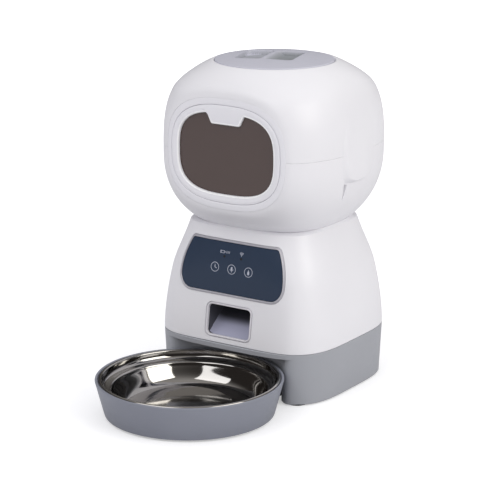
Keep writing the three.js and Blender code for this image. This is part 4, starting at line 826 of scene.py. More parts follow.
def body_half(z):
    """Half the body's width at a height: a slight draft down the skirt, and above it a rounded taper that
    leans in a little more near the head."""
    low = BASE_HALF_WIDTH - 2.2 * (SKIRT_TOP - z) / (SKIRT_TOP - SKIRT_LOW)
    high = BASE_HALF_WIDTH * share_at(z - SKIRT_TOP, TAPER, 1.7) - 3 * smooth_step(115, 156, z)
    return np.where(z < SKIRT_TOP, low, high)


def body_edge(x, z, inset=0.0):
    """Half the body's depth at x and z, by its rounded-square outline."""
    half = body_half(z)
    return (half * DEPTH_RATIO - inset) * share_at(x, half - inset, BODY_CORNER)


def body_front(x, z, inset=0.0):
    """The body's front at x and z: its outline eased into the leaning plane."""
    return -soft_min(body_edge(x, z, inset), front_at(z) - inset, BODY_SOFT)


def body_ring(angle, z, inset=0.0):
    """Rings of the body at each height, the front eased into the leaning plane."""
    halves = body_half(z) - inset, body_half(z) * DEPTH_RATIO - inset
    return fronted_ring(angle, z, halves, BODY_CORNER, front_at(z) - inset, BODY_SOFT)


SHOULDER_Z = BODY_TOP - 2.4  # from here up the body closes in to the head
SLOT_X, SLOT_HALF = (-12, -6, 0, 6, 12), 1  # the sound slots in the back
SLOT_LOW, SLOT_HIGH = 91.0, 109.0
SLOT_MIDDLE = (SLOT_LOW + SLOT_HIGH) / 2


def body_angles():
    """Directions round the body: evenly spread, but at the back set so that the sound slots' edges fall on a
    line of points."""
    depth = float(body_edge(np.array(0.0), np.array(SLOT_MIDDLE)))
    edges = [x + side for x in SLOT_X for side in (-SLOT_HALF, SLOT_HALF)]
    back = np.unique(np.concatenate([edges, np.linspace(-15, 15, 21)]))
    back = back[np.concatenate([[True], np.diff(back) > 0.3])]
    even = full_turn(400)
    even = even[np.abs(even - TURN / 4) > math.atan2(15.8, depth)]
    return np.sort(np.concatenate([even, np.arctan2(depth, back)]))


def panel_outline():
    """The control panel on its plane: straight top and bottom, bowed sides, wide lower corners, all corners
    eased."""
    top, waist, bottom = 25.2, -10.0, -24.3
    half, bow, corner = 58.5, 11, 12
    v = np.linspace(top, waist, 40)
    side = np.stack([half - bow * ((v - waist) / 38) ** 2, v], -1)
    angle = np.linspace(0, math.pi / 2, 24)[1:]
    lower = [half - corner + corner * np.cos(angle), waist - (waist - bottom) * np.sin(angle)]
    lower = np.stack(lower, -1)
    right = np.concatenate([side, lower])
    return softened(np.concatenate([right * [-1, 1], right[::-1]]), 0.6, 1.5)


OUTLET_LOW, OUTLET_HIGH = 57.4, 91.0
OUTLET_X = 1.3  # the outlet sits a touch to the right of the middle
OUTLET_Z = (OUTLET_LOW + OUTLET_HIGH) / 2
OUTLET_V = (OUTLET_Z - FRONT_Z) * FRONT_SCALE
OUTLET_HALF = (26.7, (OUTLET_HIGH - OUTLET_LOW) / 2 * FRONT_SCALE)


def outlet_outline(grow=0.0):
    """The outlet's outline about its own middle."""
    outline = rounded_box(OUTLET_HALF[0] + grow, OUTLET_HALF[1] + grow, max(6.5 + grow, 1.5), steps=16)
    return evenly(outline, 0.8)


def cell_middles(skin):
    """The x and z of the middle of each cell of a skin, between its two columns and its two rows."""
    low = skin[:-1]
    return (low[..., 0] + np.roll(low[..., 0], -1, 1)) / 2, (low[..., 2] + skin[1:, :, 2]) / 2


def body_wall():
    """The body: rings of its outline, then a small round edge and a shelf up to the head; inside, the
    same moved in by the wall, with the ledge that the head's neck stands on. The panel, the outlet and the
    sound slots are cut through it."""
    angle = body_angles()[None, :]
    neck_seat = HEAD_BOTTOM - 0.3
    below, above = np.linspace(BODY_LOW + 0.5, SLOT_LOW, 28), np.linspace(SLOT_HIGH, 156, 32)
    plain = np.concatenate([below, np.linspace(SLOT_LOW, SLOT_HIGH, 15)[1:-1], above])
    ledge_z = [neck_seat - WALL, neck_seat - WALL, neck_seat, neck_seat]
    z = np.concatenate([[BODY_LOW], plain, ledge_z, [SHOULDER_Z]])
    nudge = np.zeros(len(z))
    first = 1 + len(plain)
    nudge[first : first + 4] = [-0.05, 0.05, -0.05, 0.05]
    inset = np.zeros(len(z))
    inset[0] = 0.35
    outer = body_ring(angle, (z + nudge)[:, None], inset[:, None])
    inner = body_ring(angle, z[:, None], WALL - inset[:, None])
    neck = np.stack(rounded_square(angle[0], NECK_HALF[0] - 5, NECK_HALF[1] - 5, 3), -1)
    inner[first + 1 : first + 3, :, :2] = neck
    head = head_ring(angle, np.array([[BODY_TOP]]), -0.04)
    inward = np.array([0.015, 0.045, 0.1, 0.17, 0.35, 0.55, 0.75, 0.9, 1.0])[:, None, None]
    rise = np.array([0.1, 0.17, 0.23, 0.29, 0.44, 0.61, 0.79, 0.92, 1.0])[:, None]
    over = outer[-1:] + (head - outer[-1:]) * inward
    over[..., 2] = SHOULDER_Z + (BODY_TOP - SHOULDER_Z) * rise
    under = inner[-1:] + (head - inner[-1:]) * np.linspace(0, 1, 9)[:, None, None]
    under[..., 2] = np.minimum(over[..., 2] - 1.4, BODY_TOP - 1.4)
    outer, inner = np.concatenate([outer, over]), np.concatenate([inner, under])
    z = outer[:, 0, 2]
    # The columns of points run upright past the sound slots, and ease back to the rings away from them.
    slot_x, slot_y, _ = body_ring(angle, np.array([[SLOT_MIDDLE]]))[0].T
    steady = smooth_step(38, 12, np.abs(z - SLOT_MIDDLE))[:, None] * smooth_step(42, 16, np.abs(slot_x))
    steady *= slot_y > 0
    for skin, depth in ((outer, 0.0), (inner, WALL)):
        x = skin[..., 0] + (slot_x - skin[..., 0]) * steady
        skin[..., 1] = np.where(steady > 0, body_edge(x, z[:, None], depth), skin[..., 1])
        skin[..., 0] = x
    keep = np.ones((len(z) - 1, angle.size), bool)
    fronts = [body_front, lambda x, z: body_front(x, z, WALL)]
    cut_opening((outer, inner), keep, grown(panel_outline(), 2.7), FRONT_Z, FRONT_SCALE, fronts)
    cut_opening((outer, inner), keep, outlet_outline(0.35), OUTLET_Z, FRONT_SCALE, fronts, OUTLET_X)
    middle_x, middle_z = cell_middles(outer)
    behind = (outer[:-1, :, 1] > 0) & (middle_z > SLOT_LOW) & (middle_z < SLOT_HIGH)
    for x in SLOT_X:
        keep &= ~(behind & (np.abs(middle_x - x) < SLOT_HALF))
    return shell(outer, inner, keep)


piece("body_skin", body_wall(), shell_abs, "housing", ["body_shell"])


# ======== Control panel and outlet, on the leaning front ========


def on_front(outline, depth, v0=0.0):
    """Points drawn on the leaning front: each lies on the body's eased front, moved depth square to the
    plane."""
    x, v = outline[:, 0], outline[:, 1] + v0
    z = FRONT_Z + v / FRONT_SCALE
    y = body_front(x, z)
    square = np.array([0, -1, FRONT_SLOPE]) / FRONT_SCALE
    return np.stack([x, y, z], -1) + depth * square


def panel_bezel():
    """The panel's surround: a low rim with a fine groove carried round the outline, and a floor behind the
    panel."""
    base = panel_outline()
    section = [(2.3, -2.0), (2.3, 0.3), (2.15, 0.5), (1.8, 0.55), (1.65, 0.25), (1.5, 0.25), (1.35, 0.9)]
    section += [(1.1, 1.1), (0.7, 1.1), (0.4, 0.8), (0.25, 0.3), (0.25, -1.9)]
    loops = [on_front(grown(base, out), depth) for out, depth in section]
    floor = [on_front(base * share, -1.9) for share in (0.7, 0.3, 0.05)]
    under = [on_front(base * share, -3.7) for share in (0.05, 0.3, 0.7, 0.95)]
    return capped(under + loops + floor)


def panel_plate():
    """The navy panel: a thin plate on the eased front with a small bright edge."""
    base = panel_outline()
    loops = [on_front(base * share, -1.6) for share in (0.02, 0.4, 0.8)] + [on_front(base, -1.6)]
    loops += [on_front(base, 0.15), on_front(grown(base, -0.25), 0.4)]
    loops += [on_front(base * share, 0.4) for share in (0.95, 0.85, 0.7, 0.55, 0.4, 0.25, 0.12, 0.02)]
    return capped(loops)


piece("panel_bezel_rim", panel_bezel(), trim_silver, "housing", ["panel_bezel"])
piece("panel_plate", panel_plate(), panel_navy, "housing", ["panel_face"])

KEY_PITCH = 19.5
LAMP_RISE = 11.5
INK = (0.36, 0.46)  # the prints' back, just inside the panel, and their face


def print_patch(outline, x=0.0, v=0.0, low=INK[0], high=INK[1]):
    """A printed shape: its outline filled in, standing a hair proud of the panel."""
    spot = outline + [x, v]
    middle = spot.mean(0)
    loops = [on_front(middle + (spot - middle) * 0.5, low), on_front(spot, low), on_front(spot, high)]
    return capped([*loops, on_front(middle + (spot - middle) * 0.5, high)])


def print_ring(radius, thick, x=0.0, v=0.0, start=0.0, end=TURN):
    """A printed ring or arc of a radius and thickness."""
    whole = end - start >= TURN
    angle = np.linspace(start, end, 64 if whole else 20, endpoint=not whole)
    around = np.stack([np.cos(angle), np.sin(angle)], -1)
    sizes = [(radius - thick / 2, INK[0]), (radius + thick / 2, INK[0])]
    sizes += [(radius + thick / 2, INK[1]), (radius - thick / 2, INK[1])]
    loops = np.array([on_front(around * size + [x, v], depth) for size, depth in sizes])
    if whole:
        return hoop(loops)
    return capped(loops.transpose(1, 0, 2))


def bar(x0, v0, x1, v1, thick):
    """A straight printed stroke with round ends."""
    along = np.array([x1 - x0, v1 - v0])
    length = np.hypot(*along)
    across = rounded_box(length / 2 + thick / 2, thick / 2, thick / 2 - 0.01, steps=4)
    turn = np.array([along, [-along[1], along[0]]]) / max(length, 1e-6)
    return across @ turn + [(x0 + x1) / 2, (v0 + v1) / 2]


def panel_marks():
    """Three key rings with a clock, a microphone and a falling grain in them, and a battery and a signal mark
    over the two pinholes."""
    keys = [-KEY_PITCH, 0.0, KEY_PITCH]
    marks = [print_ring(4.5, 0.5, x) for x in keys]
    clock, voice, feed = keys
    marks.append(print_patch(rounded_box(0.95, 1.75, 0.93), voice, 0.75))
    marks.append(print_ring(1.75, 0.45, voice, 0.35, math.pi, TURN))
    angle = full_turn(40)
    grain = np.stack([1.75 * np.sin(angle) * np.sin(angle / 2) ** 1.6, 2.7 * np.cos(angle)], -1)
    marks.append(print_patch(grain[::-1], feed, 0.0))
    low, signal = -KEY_PITCH / 2, KEY_PITCH / 2
    over = LAMP_RISE + 4.2
    fan = (math.radians(50), math.radians(130))
    marks += [print_ring(radius, 0.5, signal, over - 1.6, *fan) for radius in (1.2, 2.3, 3.4)]
    marks.append(print_patch(rounded_box(0.35, 0.35, 0.34, steps=4), signal, over - 1.5))
    strokes = [(clock, -0.2, clock, 2.3, 0.75), (clock, -0.2, clock + 1.8, -0.9, 0.75)]
    strokes += [(voice, -1.6, voice, -2.7, 0.5), (low + 0.25, over - 0.4, low + 0.25, over + 0.4, 0.6)]
    strokes += [(low - 5.2, over + s * 1.1, low - 0.6, over + s * 1.1, 0.4) for s in (-1, 1)]
    strokes += [(x, over - 1.03, x, over + 1.03, 0.39) for x in (low - 5.2, low - 0.6)]
    strokes += [(low + x, over - 0.9, low + x, over + 0.9, 0.5) for x in (-4.2, 2.2, 3.8, 5.4)]
    return marks + [print_patch(bar(*stroke)) for stroke in strokes]


def pinholes():
    """The two lamp pinholes: black discs just proud of the panel's paint, painted shade standing for the dark
    inside of each hole.
    """
    spot = rounded_box(1.2, 1.2, 1.19, steps=6)
    return [print_patch(spot, x, LAMP_RISE, 0.36, 0.5) for x in (-KEY_PITCH / 2, KEY_PITCH / 2)]


piece("panel_marks", panel_marks(), panel_ink, "housing", crease=60)
piece("panel_pinholes", pinholes(), black_abs, "housing", crease=60)


def outlet_frame():
    """The outlet's frame: a thin raised strip with a fine gap round it, carried round a rounded rectangle."""
    base = outlet_outline()
    section = [(0, -WALL), (0, -1.0), (-0.55, -1.0), (-0.6, 0.35), (-0.75, 0.65), (-1.3, 0.7)]
    section += [(-1.8, 0.55), (-2.1, 0.1), (-2.2, -0.5), (-2.2, -WALL)]
    return hoop([on_front(grown(base, out) + [OUTLET_X, 0], depth, OUTLET_V) for out, depth in section])


piece("outlet_frame", outlet_frame(), outlet_trim, "housing", ["chute_frame"])


# ======== Chute ========

CHUTE_HALF = 25.4


def chute_lines():
    """The chute's floor and roof as lines of (y, z) from the throat under the drum to the mouth: a floor that
    drops, turns and runs out straight as a ramp, and a roof that turns over the outlet."""
    drum_floor = box("paddle_drum")[0][2]
    top, bend_top = drum_floor - 0.3, drum_floor - 14
    back, far = ROTOR_Y - 19.5, ROTOR_Y - 38.5
    mouth_low, mouth_high = OUTLET_LOW - 0.8, OUTLET_HIGH + 0.2
    mouth = -(front_at((mouth_low + mouth_high) / 2) - WALL - 0.3)
    floor = [(back, top), (back, bend_top), (back - 8, bend_top - 12)]
    floor += [(mouth + 27, mouth_low + 20), (mouth, mouth_low)]
    roof = [(far, top), (far, mouth_high + 14), (far - 9, mouth_high + 5), (mouth, mouth_high)]
    return eased_line(floor, [0, 0.16, 0.38, 0.6, 1]), eased_line(roof, [0, 0.25, 0.6, 1])


def eased_line(turns, shares):
    """Points along straight runs between turns, which lie at shares of the way, with the turns blurred."""
    along = np.linspace(0, 1, 49)
    line = np.stack([np.interp(along, shares, way) for way in np.array(turns).T], -1)
    reach = 4
    padded = np.concatenate([np.repeat(line[:1], reach, 0), line, np.repeat(line[-1:], reach, 0)])
    return blurred(padded, 2.0, reach)[reach:-reach]


def chute_duct():
    """The duct: rounded rectangles between the floor and the roof, each square to neither but spanning both;
    a second set moved out makes its wall."""
    floor, roof = chute_lines()
    middle, half = (floor + roof) / 2, np.linalg.norm(roof - floor, axis=1) / 2
    lift = (roof - floor) / (2 * half[:, None])
    skins = []
    for grow in (0.0, 1.6):
        angle = full_turn(96)[None, :]
        x, v = rounded_square(angle, CHUTE_HALF + grow, (half + grow)[:, None], 9)
        y = middle[:, :1] + v * lift[:, :1]
        z = middle[:, 1:] + v * lift[:, 1:]
        skins.append(np.stack(np.broadcast_arrays(x + OUTLET_X, y, z), -1))
    return shell(skins[1], skins[0])


def chute_ramp():
    """The ramp's liner: a thin strip on the duct's floor, dished towards its sides like the floor below."""
    floor, roof = (line[6:] for line in chute_lines())
    lift = (roof - floor) / np.linalg.norm(roof - floor, axis=1, keepdims=True)
    x = np.linspace(-1, 1, 61)[None, :] * (CHUTE_HALF - 0.3)
    dish = 0.5 + 3 * np.abs(x / CHUTE_HALF) ** 10
    y, z = (floor[:, i : i + 1] + lift[:, i : i + 1] * dish for i in (0, 1))
    top = np.stack([x + OUTLET_X + 0 * y, y, z], -1)
    under = top - 0.4 * np.concatenate([0 * lift[:, :1], lift], -1)[:, None, :]
    return shell(top, under, wrap_cols=False)


piece("chute_duct", chute_duct(), duct_shade_abs, "housing", ["chute"], crease=50)
piece("chute_ramp", chute_ramp(), chute_abs, "housing", crease=50)


# ======== Base ========

BACK_STEPS = 420  # points round the skirt's back, from one front corner to the other
ARC_SHELF = 0.84  # the shelf's and the dock's share of the points across its front
ARC_DOCK = ARC_SHELF * DOCK_HALF / SHELF_HALF
SOCKET_Z, SOCKET_RADIUS = 28.0, 4.9  # the power inlet's hole in the back


def skirt_path(z, inset, recess):
    """The skirt's outline at each height: round the back from one front corner to the other along the body's
    outline, then across the front along the recess's wall. Each corner is where the two meet, rounded by a
    blur along the outline. The plain outline without the recess comes after it."""
    low, high = np.full(z.shape, 40.0), np.full(z.shape, 85.0)
    for _ in range(40):
        middle = (low + high) / 2
        ahead = -body_edge(middle, z, inset) < TRAY_Y + np.sqrt(np.maximum(recess**2 - middle**2, 0))
        low, high = np.where(ahead, middle, low), np.where(ahead, high, middle)
    corner_x = (low + high) / 2
    corner_y = -body_edge(corner_x, z, inset)
    start = np.arctan2(corner_y, corner_x)[:, None]
    share = np.linspace(0, 1, BACK_STEPS)[None, :]
    angle = start + (math.pi - 2 * start) * share
    half = body_half(z)[:, None]
    x, y = rounded_square(angle, half - inset, half * DEPTH_RATIO - inset, BODY_CORNER)
    across = np.concatenate([np.linspace(-1, -ARC_SHELF, 10), np.linspace(-ARC_SHELF, -ARC_DOCK, 26)[1:]])
    across = np.concatenate([across, np.linspace(-ARC_DOCK, ARC_DOCK, 24)[1:], -across[::-1][1:]])[1:-1]
    beyond = (np.abs(across) - ARC_SHELF) / (1 - ARC_SHELF)
    wide_x = np.sign(across) * (SHELF_HALF + beyond * (corner_x[:, None] - SHELF_HALF))
    arc_x = np.where(beyond > 0, wide_x, across / ARC_SHELF * SHELF_HALF)
    arc_y = TRAY_Y + np.sqrt(np.maximum(recess**2 - arc_x**2, 0))
    front_y = -body_edge(arc_x, z[:, None], inset)
    front = np.concatenate([y, front_y], 1)
    x, y = np.concatenate([x, arc_x], 1), np.concatenate([y, arc_y], 1)
    count = x.shape[1]
    apart = np.minimum.reduce([abs(np.arange(count) - c) for c in (0, BACK_STEPS - 1, count)])
    share = np.exp(-((apart / 6.0) ** 4))
    eased_x, eased_y = (line + (blurred(line, 3.0, 9, axis=1) - line) * share for line in (x, y))
    return eased_x, eased_y, x, front


def base_skirt():
    """The skirt's two skins and the cells it keeps: its outline with the recess's curved wall up to the
    recess's ceiling, then the whole outline to the top; inside, the same moved in by the wall. A notch and a
    slot through the recess's wall pass the base plate's shelf and the tray's tongue."""
    set_z = [SKIRT_LOW, SKIRT_LOW + 0.5, SHELF_TOP, DOCK_TOP]
    low_z = np.unique(np.concatenate([set_z, np.linspace(3.6, 46.6, 30)]))
    low_z = low_z[np.concatenate([[True], np.diff(low_z) > 0.25])]
    ceiling = np.array([RECESS_TOP])
    high_z = np.array([RECESS_TOP + 0.02, RECESS_TOP + 0.45, 48.5, 50.0, SKIRT_TOP - 0.45, SKIRT_TOP])
    skins = []
    for wall, recess, lift in ((0.0, RECESS_RADIUS, 0.0), (WALL, RECESS_RADIUS + WALL, WALL)):
        z = np.concatenate([low_z, ceiling + lift - (0.9 if lift else 0)])
        x, y_arc, _, _ = skirt_path(z, wall, recess)
        lower = np.stack(np.broadcast_arrays(x, y_arc, z[:, None]), -1)
        top_z = np.maximum(high_z, RECESS_TOP + lift - (0.85 if lift else 0))
        _, _, x, y_full = skirt_path(top_z, wall, recess)
        upper = np.stack(np.broadcast_arrays(x, y_full, top_z[:, None]), -1)
        skins.append(np.concatenate([lower, upper]))
    outer, inner = skins
    outer[[0, -1], :, :2] *= 1 - 0.35 / 90
    outer[len(low_z) + 1, BACK_STEPS:, 1] += 0.5  # a soft edge over the recess
    keep = np.ones((len(outer) - 1, outer.shape[1]), bool)
    middle_x, middle_z = cell_middles(outer)
    recessed = np.arange(outer.shape[1]) >= BACK_STEPS - 1
    for half, top in ((SHELF_HALF, SHELF_TOP), (DOCK_HALF, DOCK_TOP)):
        keep &= ~(recessed & (np.abs(middle_x) < half) & (middle_z < top))
    return outer, inner, keep


def plug_bore(skins, keep):
    """Opens the skirt's back for the power inlet: the same cut as the front ones, with front and back
    exchanged."""
    turned = [skin * [1, -1, 1] for skin in skins]
    bore = oval((SOCKET_RADIUS, SOCKET_RADIUS), 2, 120)
    fronts = [lambda x, z: -body_edge(x, z), lambda x, z: -body_edge(x, z, WALL)]
    cut_opening(turned, keep, bore, SOCKET_Z, 1.0, fronts)
    return [skin * [1, -1, 1] for skin in turned]


skirt_outer, skirt_inner, skirt_keep = base_skirt()
skirt_skins = plug_bore((skirt_outer, skirt_inner), skirt_keep)
piece("base_skirt_skin", shell(*skirt_skins, skirt_keep), base_abs, "housing", ["base_skirt"])


FOOT_PAD = [(0, 0), (10.4, 0), (11.2, 0.6), (11.4, 1.6), (11.4, 5.6), (10.9, 6.1), (0, 6.1)]
FOOT_NECK = [(0, 5.8), (3, 5.8), (3, 9.3), (4, 9.3), (3, 11), (0, 11)]
FOOT_SHIFT = (1.5, 4.0)  # each pad stands this far sideways and lengthways outwards of its neck

for index in range(1, 5):
    low, high = box(f"foot_{index}")
    x, y = (low[0] + high[0]) / 2, (low[1] + high[1]) / 2
    pad_x, pad_y = x + np.sign(x) * FOOT_SHIFT[0], y + np.sign(y) * FOOT_SHIFT[1]
    pad = eased_lathe(FOOT_PAD, 0.15, x=pad_x, y=pad_y, steps=64)
    barb = lathe(FOOT_NECK, x=x, y=y, steps=48)
    piece(f"foot_{index}_pad", [pad, barb], foot_rubber, "housing", [f"foot_{index}"])


# ======== Tray and bowl ========


def tray_profile():
    """The tray: a sloping outer wall to a small bright rim, a ledge for the bowl, and a foot ring."""
    rim = [(89.97, 34.9), (89.85, 35.5), (89.45, 35.9), (88.9, 36.0), (88.2, 36.0), (87.75, 35.8)]
    ledge = [(87.35, 35.0), (87.3, 32.8), (84.4, 32.6), (83.9, 28.6)]
    floor = [(80.4, 5.4), (79.4, 4.6), (76.1, 4.4), (0, 4.4)]
    foot = [(0, 2), (69.5, 2), (69.5, 0.4), (69.9, 0), (73.1, 0), (73.5, 0.4), (73.5, 2)]
    return foot + [(80.6, 2), (81.35, 2.3), (81.7, 3.1)] + rim + ledge + floor


def curve_through(*knots, steps=14):
    """Cubic curves end to end; knots are each curve's start and two handles, then the last end."""
    knots = np.array(knots, float)
    t = np.linspace(0, 1, steps, endpoint=False)[:, None]
    weights = [(1 - t) ** 3, 3 * t * (1 - t) ** 2, 3 * t**2 * (1 - t), t**3]
    runs = [sum(w * knots[i + k] for k, w in enumerate(weights)) for i in range(0, len(knots) - 1, 3)]
    return np.concatenate([*runs, knots[-1:]])


def bowl_profile():
    """The bowl: a rolled rim, a short upright band, a ledge in to a tight shoulder, a leaning wall that
    curves into the floor, and a raised disc in the floor, over the same line moved out by the sheet."""
    roll_r, roll = BOWL_RIM - 1.8, 1.8
    roll_z = BOWL_RIM_Z - roll
    low = BOWL_RIM_Z - 29.5
    band = [(roll_r - 1.8, roll_z), (roll_r - 2.1, low + 21.8), (roll_r - 4.0, low + 20.7)]
    shoulder = [(roll_r - 8.2, low + 20.1), (roll_r - 10.2, low + 19.8), (roll_r - 10.9, low + 18.9)]
    wall = [(roll_r - 11.3, low + 17.2), (roll_r - 15.6, low + 9.4), (roll_r - 18.6, low)]
    wall = curve_through(*band, *shoulder, *wall, (roll_r - 25.5, low))
    lip = np.radians(np.linspace(-70, 175, 18))
    rolled = np.stack([roll_r + roll * np.cos(lip), roll_z + roll * np.sin(lip)], -1)
    disc = [(46.2, 0), (45.6, 0.05), (45.0, 0.25), (44.2, 0.75), (43.4, 1.25), (42.8, 1.45), (42.2, 1.5)]
    floor = np.array([(52, 0), *disc, (20, 1.5), (0, 1.5)]) + [0, low]
    inside = np.concatenate([wall, floor])
    outside = inside[::-1] + [0, -1.0]
    outside[:, 0] = np.where(outside[:, 0] > 0, outside[:, 0] + 0.55 * (outside[:, 1] > low + 1), 0)
    return np.concatenate([rolled, inside, outside[:-1], [(roll_r - 0.2, roll_z - 1.5)]])


tray = lathe(tray_profile(), y=TRAY_Y, steps=220)
piece("tray_shell", tray, tray_abs, "tray", ["bowl_tray"], crease=38)
bowl = lathe(bowl_profile(), y=TRAY_Y, steps=240)
piece("bowl_shell", bowl, bowl_steel, "bowl", ["steel_bowl"], crease=50)


# ======== Lid ========

SCOOP_TURN = math.radians(16)  # the grip runs a little askew on the closed lid
SCOOP_HALF, SCOOP_CORNER, SCOOP_DEPTH = (14.2, 26.0), 5.0, 4.2
GRIP_X, GRIP_Y = -11.0, 8.0  # the grip's middle


def scoop_share(x, y):
    """How deep a spot of the lid lies in its two finger scoops, 0 to 1. Each is a rounded rectangle beside
    the grip with steep outer walls, and its floor rises in a soft ramp to the grip between them."""
    x, y = x - GRIP_X, y - GRIP_Y
    across = x * math.cos(SCOOP_TURN) + y * math.sin(SCOOP_TURN)
    along = y * math.cos(SCOOP_TURN) - x * math.sin(SCOOP_TURN)
    over_x = np.abs(np.abs(across) - SCOOP_HALF[0] - 1.5) - (SCOOP_HALF[0] - SCOOP_CORNER)
    over_y = np.abs(along) - (SCOOP_HALF[1] - SCOOP_CORNER)
    outside = np.hypot(np.maximum(over_x, 0), np.maximum(over_y, 0))
    outside += np.minimum(np.maximum(over_x, over_y), 0)
    ramp = smooth_step(1.0, 9, np.abs(across))
    return np.minimum(smooth_step(-0.15, 0.9, SCOOP_CORNER - outside), ramp)


def lid_height(x, y):
    """The lid's top: a low dome less the scoops."""
    return LID_TOP - 2 * (x**2 + y**2) / LID_RADIUS**2 - SCOOP_DEPTH * scoop_share(x, y)


def lid_top():
    """The lid's top as a fine grid whose cells outside the rim are left out and whose border moves onto it,
    then the rim, the skirt below it and the underside as rings on the border's own points."""
    line = np.linspace(-LID_RADIUS, LID_RADIUS, 196)
    x, y = np.meshgrid(line, line)
    rim = LID_RADIUS - 0.8
    level = np.hypot(x, y) / rim
    inside = level <= 1
    cells = inside[:-1, :-1] & inside[1:, :-1] & inside[:-1, 1:] & inside[1:, 1:]
    faces = grid_faces(*x.shape, wrap_cols=False)[cells.reshape(-1)]
    border = np.unique(open_edges(faces, x.size))
    x, y, level = (values.reshape(-1) for values in (x, y, level))
    x[border], y[border] = x[border] / level[border], y[border] / level[border]
    top = np.stack([x, y, lid_height(x, y)], -1)
    order = border[np.argsort(np.arctan2(y[border], x[border]))]
    angle = np.arctan2(y[order], x[order])
    edge = LID_TOP - 2
    profile = [(LID_RADIUS - 0.4, edge - 0.1), (LID_RADIUS - 0.1, edge - 0.4), (LID_RADIUS, edge - 0.9)]
    profile += [(LID_RADIUS, LID_SEAT + 0.5), (LID_RADIUS - 0.5, LID_SEAT), (53, LID_SEAT)]
    low = LID_SEAT - 18.5
    profile += [(52.5, LID_SEAT - 0.5), (52.5, low + 0.4), (52.1, low), (50.4, low), (50, low + 0.4)]
    profile += [(50, LID_SEAT - 0.5), (49.5, LID_SEAT), (25, LID_SEAT), (0, LID_SEAT)]
    loops = np.concatenate([top[order][None], circles(profile, angle)])
    sides = grid_faces(*loops.shape[:2]) + len(top)
    return closed(np.concatenate([top, loops.reshape(-1, 3)]), np.concatenate([faces, sides[:, ::-1]]))


def lid_lugs():
    """Three lugs on the lid's skirt, which turn under the collar's ledge."""
    half = math.radians(12)
    high = LEDGE_Z - 0.3
    return [arc_block(51.5, 54.9, turn - half, turn + half, high - 2.6, high) for turn in LUGS]


lid = piece("lid_disc", [lid_top(), *lid_lugs()], lid_abs, "lid", ["lid_cap"], crease=40)
spots = np.empty(len(lid.data.vertices) * 3)
lid.data.vertices.foreach_get("co", spots)
spots = spots.reshape(-1, 3) / MILLI - [0, AXIS_Y, 0]
# Painted shade over the scoops: half strength in the left one, more in the right one and full along its outer
# wall, where its shadow falls.
scoop_shade = scoop_share(spots[:, 0], spots[:, 1]) ** 0.5 * (spots[:, 2] > LID_SEAT + 1)
aside = (spots[:, 0] - GRIP_X) * math.cos(SCOOP_TURN) + (spots[:, 1] - GRIP_Y) * math.sin(SCOOP_TURN)
scoop_shade *= np.where(aside > 0, 0.78 + 0.22 * smooth_step(26, 28.5, aside), 0.5)
lid.data.attributes.new("scoop", "FLOAT", "POINT").data.foreach_set("value", scoop_shade)


# ======== Round pieces inside ========

seal_top = LID_SEAT - 0.3
seal_ring = [(56.3, seal_top - 1.7), (58.6, seal_top - 1.7), (58.6, seal_top), (56.3, seal_top)]
seal = eased_lathe(seal_ring, 0.6)
piece("lid_seal_ring", seal, seal_silicone, "lid_seal_ring", ["lid_seal"])

dry_top = LID_SEAT - 0.3
dry_low = dry_top - 12
dry_box = [(0, dry_top), (24, dry_top), (24, dry_low), (22.2, dry_low)]
dry_box += [(22.2, dry_top - 1.8), (0, dry_top - 1.8)]
piece("drying_box_cup", eased_lathe(dry_box, 0.4, steps=96), inner_abs, "lid", ["drying_box"])


def funnel_profile():
    """The hopper's funnel: straight through the neck, then out to its rim."""
    low, neck, top = 146.3, HEAD_BOTTOM + 6, HEAD_BOTTOM + 36
    reach = box("hopper_funnel")[1][0]
    outer = [(39, low), (42.5, low), (42.5, neck - 3), (43.2, neck), (45, neck + 2.6), (reach, top - 2.5)]
    return outer + [(reach, top), (reach - 2.5, top), (42.5, neck + 4), (40, neck + 2.2), (39, neck - 0.5)]


funnel = eased_lathe(funnel_profile(), 0.5, y=ROTOR_Y)
piece("hopper_funnel_cone", funnel, inner_abs, "housing", ["hopper_funnel"])


# ======== Studio ========


def studio_floor():
    """A wide pale floor, like paper lit from behind: it glows faintly, more so far from the feeder."""
    reach = 9.0
    mesh = bpy.data.meshes.new("studio_floor")
    corners = [(-reach, -reach, 0), (reach, -reach, 0), (reach, reach, 0), (-reach, reach, 0)]
    mesh.from_pydata(corners, [], [(0, 1, 2, 3)])
    made, tree = start_material("floor_paper")
    spot = node(tree, "ShaderNodeTexCoord").outputs["Object"]
    away = node(tree, "ShaderNodeVectorMath", {0: spot}, operation="LENGTH")
    span = {"Value": away.outputs["Value"], "From Min": 0.2, "From Max": 1.8, "To Min": 0.42, "To Max": 0.95}
    glow = node(tree, "ShaderNodeMapRange", span, interpolation_type="SMOOTHSTEP")
    seen = node(tree, "ShaderNodeLightPath").outputs["Is Camera Ray"]
    shown = node(tree, "ShaderNodeMath", {0: glow.outputs[0], 1: seen}, operation="MULTIPLY")
    grain = node(tree, "ShaderNodeTexNoise", {"Vector": spot, "Scale": 40.0, "Detail": 3.0})
    tint = {0: grain.outputs["Fac"], 6: linear("dcdcde"), 7: linear("d8d8db")}
    tone = node(tree, "ShaderNodeMix", tint, data_type="RGBA")
    paper = {"Base Color": tone.outputs[2], "Roughness": 0.95, "Specular IOR Level": 0.1}
    end_material(tree, paper | {"Emission Color": linear("ffffff"), "Emission Strength": shown.outputs[0]})
    mesh.materials.append(made)
    floor = bpy.data.objects.new("studio_floor", mesh)
    bpy.context.collection.objects.link(floor)


def softbox(name, where, aim, size, power, tint=(1.0, 1.0, 1.0)):
    """A large soft lamp at where, facing aim."""
    data = bpy.data.lights.new(name, "AREA")
    data.shape, data.size, data.size_y, data.energy = "RECTANGLE", size[0], size[1], power
    data.color = tint
    lamp = bpy.data.objects.new(name, data)
    lamp.location = where
    lamp.rotation_euler = (Vector(aim) - Vector(where)).to_track_quat("-Z", "Y").to_euler()
    bpy.context.collection.objects.link(lamp)


